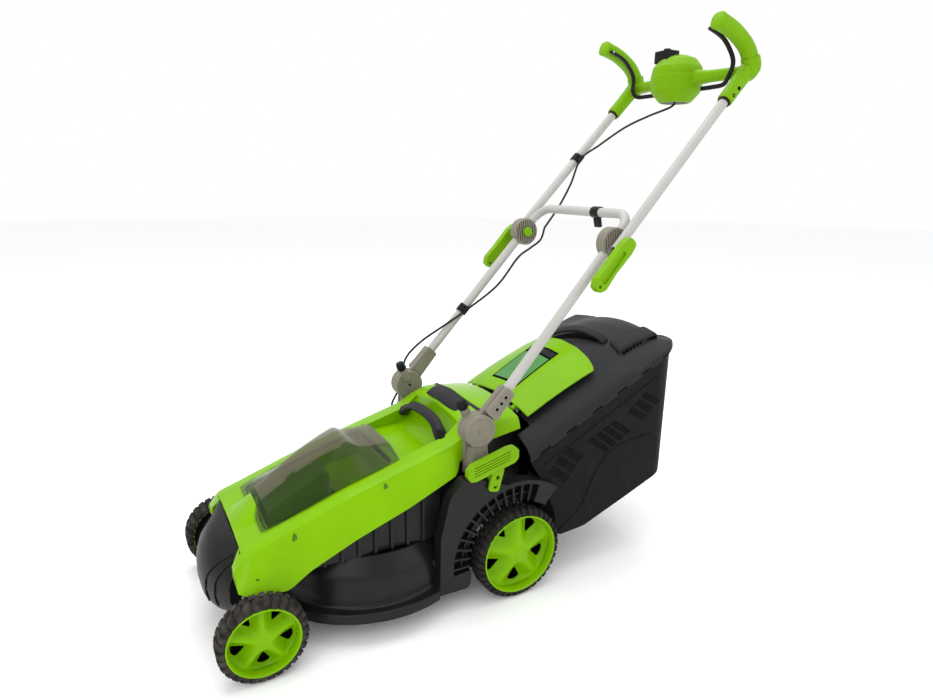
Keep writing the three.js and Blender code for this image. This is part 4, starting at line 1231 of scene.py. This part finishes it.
def screw_head(x, y, z, radius, out=1.2):
    """A round head with a socket, on an outer side."""
    return turned([(0.01, out - 1.6), (radius * 0.45, out - 1.6), (radius * 0.5, out), (radius * 0.85, out),
                   (radius, out - 0.7), (radius, -1.5), (0.01, -1.5)], (x, y, z), sides=28)


def disc_shell(x0, x1, centre, radius, dish_in=0.0):
    """A round disc with a softened rim and, on its outer face, a shallow dish."""
    y, z = centre
    profile = [(0.01, x0), (radius - 1, x0), (radius, x0 + 1), (radius, x1 - 1.4), (radius - 1.4, x1)]
    if dish_in:
        profile += [(radius * 0.82, x1), (radius * 0.78, x1 - dish_in)]
    profile.append((0.01, x1 - dish_in))
    return turned(profile, (0, y, z), sides=64)


KNOB_X, KNOB_ANGLE = 147, math.radians(115)


def knob_line(*distances):
    """Points on the lock knob's slanted line, at distances from the lower fold."""
    return [(KNOB_X, *along(LOWER, KNOB_ANGLE, distance)) for distance in distances]


def handle_bracket(name, side):
    y, z = LOWER
    outer_cheek = disc_shell(*OUTER_CHEEK, LOWER, DISC_R, 1.6)
    inner_cheek = disc_shell(*INNER_CHEEK, LOWER, DISC_R)
    post = prism(rounded([(y - 21, 282), (y + 21, 274), (y + 15, z - 32), (y + 22, z - 12), (y - 22, z - 12),
                         (y - 15, z - 32)], 5, 4), 172.4, 183)
    foot_line = [(y - 20, 284), (y + 20, 276), (y + 14, z - 34), (y - 14, z - 34)]
    foot = prism(rounded(foot_line, 3, 3), 147.6, 182.4)
    web = prism([(y - 20, 268), (y + 20, 268), (y + 20, z), (y - 20, z)], 147.3, 157.2)
    made = object_of(f"{name}_bracket_post", on(side, post), WARM_GREY)
    # two rows of two small square openings in the neck
    holes = []
    for row in (0, 1):
        for column in (-1, 1):
            hy, hz = y + 8 * column, z - 46 - 13 * row
            hole = [(hy - 3, hz - 3.4), (hy + 3, hz - 3.4), (hy + 3, hz + 3.4), (hy - 3, hz + 3.4)]
            holes.append(prism(hole, 180, 190))
    carve(made, on(side, *holes))
    finish_piece(made, "deck", [f"{name}_handle_bracket"], bevel=0.9)
    piece(f"{name}_bracket_cheek", on(side, outer_cheek), WARM_GREY, "deck", bevel=0.9)
    boss = rod(*knob_line(14, 42), 9.5)
    pin = rod((KNOB_X, y, z), (185, y, z), 5)
    piece(f"{name}_bracket_inner", on(side, inner_cheek, foot, web, boss, pin), WARM_GREY, "deck", bevel=0.9)
    screw = screw_head(183.4, y, z, 4.6, 0.8)
    piece(f"{name}_pivot_screw", on(side, screw), STEEL, "deck")


def lock_knob(name, side):
    way = knob_line(22, 43, 44.5, 47, 53, 60, 61.8, 62)
    stem = rod(way[0], way[2], 3.6, 24)
    head = sweep(way[1:], circle(1.0, 36), up=(1, 0, 0), scale=[8.0, 9.6, 11, 10.4, 9.2, 8.2, 6.6])
    piece(f"{name}_lock_knob_head", on(side, stem, head), BLACK, f"{name}_lock_knob",
          [f"{name}_lock_knob"], sharp=35, bevel=0.5)


def pivot_socket(name, side):
    y, z = LOWER
    disc = disc_shell(*SOCKET_DISC, LOWER, DISC_R - 0.2)
    neck_line = [(10, -17), (96, -14), (96, 14), (10, 17)]
    socket_line = [(34, -16), (56, -13.5), (97, -12.5), (97, 12.5), (56, 13.5), (34, 16)]
    neck = prism([lower_at(d, o)[1:] for d, o in neck_line], 159, 171.2)
    outline = rounded([lower_at(d, o)[1:] for d, o in socket_line], [5, 0, 4, 4, 0, 5], 4)
    socket = object_of(f"{name}_socket_rail", on(side, prism(outline, *SOCKET_RAIL)), WARM_GREY)
    tube_way = rod(lower_at(45), lower_at(120), TUBE_R + 0.5, 40)
    recess_line = [lower_at(d, o)[1:] for d, o in ((44, -9), (90, -8), (90, 8), (44, 9))]
    recess = prism(rounded(recess_line, 3, 4), 183, 190)

    def across(x0, x1, radius):
        """A short bar across the rail at each of its three screws."""
        return [rod((x0, *lower_at(d)[1:]), (x1, *lower_at(d)[1:]), radius) for d in SOCKET_SCREWS]

    carve(socket, on(side, tube_way), on(side, recess), on(side, *across(182, 188, 3.3)))
    finish_piece(socket, "lower_handle", [f"{name}_pivot_socket"], bevel=1.4, segments=3)
    core = object_of(f"{name}_pivot_disc", on(side, disc), WARM_GREY)
    carve(core, on(side, rod((150, y, z), (180, y, z), 5.4)))
    finish_piece(core, "lower_handle")
    web = object_of(f"{name}_pivot_neck", on(side, neck), WARM_GREY)
    carve(web, on(side, rod((150, y, z), (180, y, z), DISC_R - 2)), on(side, tube_way))
    finish_piece(web, "lower_handle", bevel=0.6)
    # painted shade: near-black discs at the foot of the screw holes
    pits = across(183.2, 182.4, 3.2)
    piece(f"{name}_socket_pits", on(side, *pits), NEAR_BLACK_AND_PAINTED_SHADE, "lower_handle", sharp=30)


def fold_disc(name, side):
    """The disc that clamps round the lower tube, with slanted ribs across its faces."""
    y, z = MIDDLE
    drum = disc_shell(*FOLD_DISC, MIDDLE, FOLD_DISC_R)
    disc = object_of(f"{name}_fold_disc_body", on(side, drum), WARM_GREY)
    grooves = []
    for i in range(-4, 5):
        off = 6 * i
        reach = math.sqrt(28 ** 2 - off ** 2) - 1
        corners = ((-reach, off - 1.4), (reach, off - 1.4), (reach, off + 1.4), (-reach, off + 1.4))
        groove = [along(MIDDLE, UPPER_ANGLE + 0.9, d, o) for d, o in corners]
        grooves += [prism(groove, 140, 151), prism(groove, 169.5, 176)]
    tube_way = rod(lower_at(LOWER_LENGTH - 60), lower_at(LOWER_LENGTH + 60), TUBE_R + 0.5, 40)
    bolt_way = rod((140, y, z), (180, y, z), 3.8)
    carve(disc, on(side, tube_way), on(side, *grooves), on(side, bolt_way))
    finish_piece(disc, "lower_handle", [f"{name}_fold_disc"], bevel=0.8)


def fold_bolt(name, side):
    y, z = MIDDLE
    nut = turned(fillet([(0.01, 137.8), (9.6, 137.8), (11.2, 140), (11.2, 145.4), (10.4, 147), (0.01, 147)],
                        [0, 2, 1, 1, 1, 0], 3), (0, y, z), sides=48)
    shank = rod((146, y, z), (209, y, z), 3.4)
    piece(f"{name}_fold_bolt_nut", on(side, nut), LIME_SATIN, "upper_handle", [f"{name}_fold_bolt"], sharp=40)
    piece(f"{name}_fold_bolt_shank", on(side, shank), STEEL, "upper_handle", sharp=40)


def cam_lever(name, side):
    def spot(d, off):
        return along(MIDDLE, LOWER_ANGLE, d, off)
    outline = rounded([spot(12, -11), spot(12, 11), spot(-10, 15), spot(-62, 14), spot(-96, 16),
                       spot(-112, 7),
                      spot(-112, -9), spot(-98, -17), spot(-60, -13), spot(-10, -15)],
                     [8, 8, 9, 30, 10, 6, 6, 10, 30, 9], 5)
    body = object_of(f"{name}_cam_body", on(side, prism(outline, *CAM_LEVER)), LIME_SATIN)
    groove_line = [spot(-18, -5), spot(-18, 5), spot(-94, 7), spot(-94, -7)]
    groove = prism(rounded(groove_line, 4, 4), 211.5, 220)
    fork = prism([spot(22, -3.9), spot(22, 3.9), spot(-4, 3.9), spot(-4, -3.9)], 190, 211)
    hole = rod((190, *spot(-103, -1)), (222, *spot(-103, -1)), 3.4)
    carve(body, on(side, groove), on(side, fork), on(side, hole))
    finish_piece(body, f"{name}_cam_lever", [f"{name}_cam_lever"], sharp=40, bevel=2.4, segments=3)


# ---- handle tubes ----
def lower_tube():
    corner = 42
    leg = LOWER_LENGTH + CROSSBAR_RISE
    half = [(lower_x(40), 40), (lower_x(250), 250), (lower_x(leg), leg)]
    points = [(x, *along(LOWER, LOWER_ANGLE, d)) for x, d in half]
    points += [(-x, y, z) for x, y, z in reversed(points)]
    path = fillet(points, [0, 0, corner, corner, 0, 0], 14)
    piece("lower_handle_u_tube", [sweep(path, circle(TUBE_R, 40), up=(1, 0, 0))], TUBE, "lower_handle",
          ["lower_handle_tube"], sharp=40)


def crossbar_strap():
    """The black strap round the crossbar, with its short tail."""
    y, z = along(LOWER, LOWER_ANGLE, LOWER_LENGTH + CROSSBAR_RISE)
    inside, outside = TUBE_R + 0.1, TUBE_R + 2.4
    band_line = [(inside, 38), (outside, 38), (outside, 62), (inside, 62)]
    band = turned(rounded(band_line, 1, 3), (0, y, z), sides=48)
    tail_line = [(y - 4, z - 11), (y + 5, z - 12), (y + 9, z - 30), (y + 2, z - 33)]
    tail = prism(rounded(tail_line, 2.5, 4), 41, 59)
    piece("crossbar_strap", [band, tail], BLACK, "lower_handle", sharp=40, bevel=0.6)


def upper_tubes():
    for name, side in SIDES:
        path = [upper_at(mix(-16, UPPER_LENGTH + 30, i / 12)) for i in range(13)]
        tube = sweep(path, circle(TUBE_R, 40), up=(1, 0, 0))
        cap = sweep([upper_at(-17.2), upper_at(-16.6), upper_at(-14)], circle(TUBE_R, 32), up=(1, 0, 0),
                    scale=[0.6, 0.82, 0.86])
        piece(f"{name}_upper_tube_bar", on(side, tube), TUBE, "upper_handle", [f"{name}_upper_tube"],
              sharp=40)
        piece(f"{name}_upper_tube_plug", on(side, cap), BLACK, "upper_handle", sharp=40)


lower_tube()
crossbar_strap()
upper_tubes()
for side_name, side in SIDES:
    handle_bracket(side_name, side)
    lock_knob(side_name, side)
    pivot_socket(side_name, side)
    fold_disc(side_name, side)
    fold_bolt(side_name, side)
    cam_lever(side_name, side)


# ---- handlebar ----
GRIP = [(566, 1042), (562, 1060), (541, 1090), (500, 1115), (456, 1129)]
GRIP_X, GRIP_R = 172, 17
LEVER_X = 150
HUB = (528, 1045)


def flat_oval(half, tall, power=2.6, sides=32):
    """A rounded-square section."""
    def swell(value):
        return math.copysign(abs(value) ** (2 / power), value)
    turns = [2 * math.pi * i / sides for i in range(sides)]
    return [(half * swell(math.cos(turn)), tall * swell(math.sin(turn))) for turn in turns]


def grip_pieces(name, side):
    path = [(GRIP_X, y, z) for y, z in spline(GRIP, 8)]
    count = len(path)
    swell = [1.04 - 0.07 * math.sin(math.pi * i / (count - 1)) for i in range(count)]
    body = sweep(path, flat_oval(GRIP_R - 1.5, GRIP_R - 1), up=(1, 0, 0), scale=swell)
    tip, before = Vector(path[-1]), Vector(path[-2])
    way = (tip - before).normalized()
    cap_path = [tip - way * 3, tip - way * 2, tip + way * 2.5, tip + way * 4]
    cap = sweep(cap_path, flat_oval(GRIP_R - 0.5, GRIP_R + 0.5), up=(1, 0, 0), scale=[0.94, 1, 1, 0.9])
    piece(f"{name}_grip", on(side, body, cap), LIME_SATIN, "upper_handle", sharp=45, bevel=0.6)
    # the elbow, the socket for the upper tube and the bar to the housing
    elbow_path = spline([upper_at(UPPER_LENGTH + 60), upper_at(UPPER_LENGTH + 84), (GRIP_X - 1, 556, 1040),
                         (GRIP_X, 564, 1052), (GRIP_X, 558, 1070)], 6)
    elbow = sweep(elbow_path, flat_oval(17.5, 18), up=(1, 0, 0),
                  scale=[mix(0.86, 1.03, smooth_step(i / 12)) for i in range(len(elbow_path))])
    socket = sweep([upper_at(UPPER_LENGTH + d) for d in (0, 1.5, 30, 62, 90)], flat_oval(14.6, 14.6),
                   up=(1, 0, 0), scale=[0.96, 1, 1, 1.04, 1.1])
    bar_path = [(mix(52, GRIP_X - 8, t), mix(HUB[0] + 10, 561, t), mix(HUB[1] - 2, 1043, t)) for t in
                (0, 0.1, 0.25, 0.5, 0.75, 0.9, 1)]
    bar = sweep(bar_path, flat_oval(13.5, 13), up=(0, 0, 1), scale=[1.4, 1.16, 1, 0.96, 0.96, 0.98, 1.02])
    piece(f"{name}_elbow", on(side, elbow), LIME_SATIN, "upper_handle", sharp=50)
    tube_way = rod(upper_at(UPPER_LENGTH - 6), upper_at(UPPER_LENGTH + 40), TUBE_R + 0.4, 40)
    sleeve = object_of(f"{name}_handle_sleeve", on(side, socket), LIME_SATIN)
    carve(sleeve, on(side, tube_way))
    finish_piece(sleeve, "upper_handle", sharp=45, bevel=0.7)
    piece(f"{name}_handle_arm", on(side, bar), LIME_SATIN, "upper_handle", sharp=50)
    ring = sweep([upper_at(UPPER_LENGTH + d) for d in (-4.5, -4, -0.8, -0.4)], circle(13.2, 36), up=(1, 0, 0),
                 scale=[0.93, 1, 1, 0.93])
    piece(f"{name}_socket_ring", on(side, ring), BLACK, "upper_handle", sharp=45)
    screw_line = [(0.01, -2), (3.6, -2), (3.6, 0.6), (2.6, 0.7), (2.2, -0.4), (0.01, -0.4)]
    screw_x = upper_x(UPPER_LENGTH) + 14.3
    screws = [turned(screw_line, upper_at(UPPER_LENGTH + d, 0, screw_x), sides=20) for d in (14, 34)]
    piece(f"{name}_socket_screws", on(side, *screws), NEAR_BLACK_AND_PAINTED_SHADE, "upper_handle", sharp=35)


def hub():
    """The round switch housing, open underneath for the cable."""
    y, z = HUB
    profile = fillet([
        (0.01, 51), (20, 49.5), (40, 42), (54, 24), (58, 2), (55, -28), (36, -50), (31, -52), (30, -48),
        (50, -27), (54, 0), (50, 22), (38, 38), (0.01, 46),
    ], [0, 10, 14, 14, 18, 14, 4, 1, 1, 12, 14, 12, 12, 0], 5)
    shell = object_of("switch_hub", [turned(profile, (0, y, z), "z", 96)], LIME_SATIN)
    pocket = box_shell((-34.4, 485.6, 1077.7), (10.4, 522.4, 1140), 3)
    ring_line = rounded([(57, 6), (60, 6), (60, 7.8), (57, 7.8)], 0.4, 2)
    ring = turned(ring_line, (0, y, z), "z", 96)
    slot = box_shell((16, 500, 1080), (22, 552, 1140), 2)
    carve(shell, [pocket], [ring], [slot])
    finish_piece(shell, "upper_handle", ["handlebar"], sharp=40, bevel=0.9)
    floor_plate = turned([(0.01, -50.5), (30.5, -50.5), (30.5, -48.8), (0.01, -48.8)], (0, y, z), "z", 48)
    piece("switch_hub_base", [floor_plate], BLACK, "upper_handle", sharp=40)
    # painted shade: a near-black block at the foot of the slot
    dark = box_shell((15.5, 500, 1068), (22.5, 552, 1086))
    piece("switch_hub_slot", [dark], NEAR_BLACK_AND_PAINTED_SHADE, "upper_handle", sharp=40)


def switch_block():
    block = object_of("switch_block_body", [box_shell((-34, 486, 1078), (10, 522, 1103.5), 4)], BLACK)
    carve(block, [rod((-12, 504, 1094), (-12, 504, 1110), 8.4)])
    finish_piece(block, "upper_handle", ["switch_block"], sharp=40, bevel=1.5, segments=3)
    button_line = fillet([(0.01, 1099), (8, 1099), (8, 1108.8), (6, 1109.2), (0.01, 1108.3)],
                         [0, 0.5, 1.5, 1.5, 0], 3)
    button = turned(button_line, (-12, 504, 0), "z", 40)
    piece("start_button_cap", [button], CHARCOAL, "start_button", ["start_button"], sharp=40)


def switch_lever(name, side):
    """A flat dark bar: from its pin it follows the grip's inner face and then runs along under the arm."""
    path = spline([(LEVER_X, 457, 1119), (LEVER_X, 498, 1104), (LEVER_X, 526, 1078), (LEVER_X, 534, 1058),
                   (LEVER_X - 4, 530, 1036), (132, 532, 1020), (100, 534, 1018), (70, 534, 1018)], 6)
    section = rounded([(-4.6, -3), (4.6, -3), (4.6, 3), (-4.6, 3)], 1.8, 4)
    bar = sweep(path, section, up=(0, 0.5, 1))
    pin = rod((LEVER_X - 6, 462, 1118), (GRIP_X - 10, 462, 1118), 2.3, 20)
    lever = f"{name}_switch_lever"
    piece(f"{name}_switch_bar", on(side, bar), BLACK, lever, [lever], sharp=45)
    piece(f"{name}_switch_pin", on(side, pin), STEEL, "upper_handle", sharp=45)


for side_name, side in SIDES:
    grip_pieces(side_name, side)
    switch_lever(side_name, side)
hub()
switch_block()


# ---- cable, held by its clips all the way ----
CABLE_R = 2.5


def mirror_point(point):
    x, y, z = point
    return (-x, y, z)


def beside(clip):
    """Where the cable passes a clip."""
    x, y, z = clip
    return (x + TUBE_R + 3 + CABLE_R + 1.2, y, z)


UPPER_CLIP_AT, LOWER_CLIP_AT = 235, 219
UPPER_CLIP = mirror_point(upper_at(UPPER_CLIP_AT))
LOWER_CLIP = mirror_point(lower_at(LOWER_CLIP_AT))
CABLE = {
    "cable_upper": ("upper_handle", [
        (0, 530, 994.5), (-10, 522, 984), (-50, 499, 968), (-100, 472, 944), (-142, 432, 904),
        beside(UPPER_CLIP), (-152, 358, 812), (-144, 322, 762), (-140, 290, 725), (-139.5, 276.2, 709.0),
    ]),
    "cable_lower": ("lower_handle", [
        (-139.5, 275.9, 708.9), (-139, 265, 680), (-139, 236, 661), (-144, 204, 638), (-148, 150, 574),
        beside(LOWER_CLIP), (-160, 20, 490), (-182, -36, 448), (-193, -70, 408), (-194, -79, 356),
    ]),
    "cable_foot": ("deck", [
        (-194, -79.4, 355.6), (-192, -87, 338), (-190, -98, 322), (-184, -109, 308), (-172, -114, 299),
    ]),
}
for node, (body, points) in CABLE.items():
    run = sweep(spline(points, 8), circle(CABLE_R, 16), up=(1, 0, 0))
    piece(f"{node}_run", [run], CABLE_SHEATH, body, [node], sharp=60)


def cable_clip(node, body, middle, way):
    """A ring round the tube, with a smaller one that holds the cable."""
    ahead = Vector(way).normalized()
    side = ahead.cross(Vector((1, 0, 0))).normalized()
    other = ahead.cross(side)

    def band(centre, inner, outer):
        rings = []
        for half, radius in ((-10, outer - 0.8), (-9.2, outer), (9.2, outer), (10, outer - 0.8), (10, inner),
                             (-10, inner), (-10, outer - 0.8)):
            point = Vector(centre) + ahead * half
            rings.append([tuple(point + (side * u + other * v) * radius) for u, v in circle(1, 40)])
        return loft(rings, caps=False)

    rings = [band(middle, TUBE_R + 0.2, TUBE_R + 3), band(beside(middle), CABLE_R + 0.2, CABLE_R + 2.2)]
    piece(f"{node}_rings", rings, BLACK, body, [node], sharp=40)


def mirrored_step(spot, distance):
    """The way the right-hand tube runs at a distance along it."""
    a, b = (mirror_point(spot(d)) for d in (distance, distance + 1))
    return Vector(b) - Vector(a)


cable_clip("upper_cable_clip", "upper_handle", UPPER_CLIP, mirrored_step(upper_at, UPPER_CLIP_AT))
cable_clip("lower_cable_clip", "lower_handle", LOWER_CLIP, mirrored_step(lower_at, LOWER_CLIP_AT))

# ---- looks of the CAD pieces that stay as they are ----
KEPT = {
    DECK_BLACK: ("motor_bay_wall", "discharge_chute"),
    LIME_SATIN: ("battery_tray", "safety_key"),
    PACK: ("battery_pack",),
    CHARCOAL: ("motor_controller",),
    STEEL: ("motor", "motor_shaft", "blade", "blade_bolt", "front_axle", "rear_axle", "height_link",
            "flap_pin"),
}
for mat, names in KEPT.items():
    for node in names:
        made = frame["nodes"][node]
        for place in made.material_slots:
            place.material = mat
        round_edges(made, 0.6, 40)
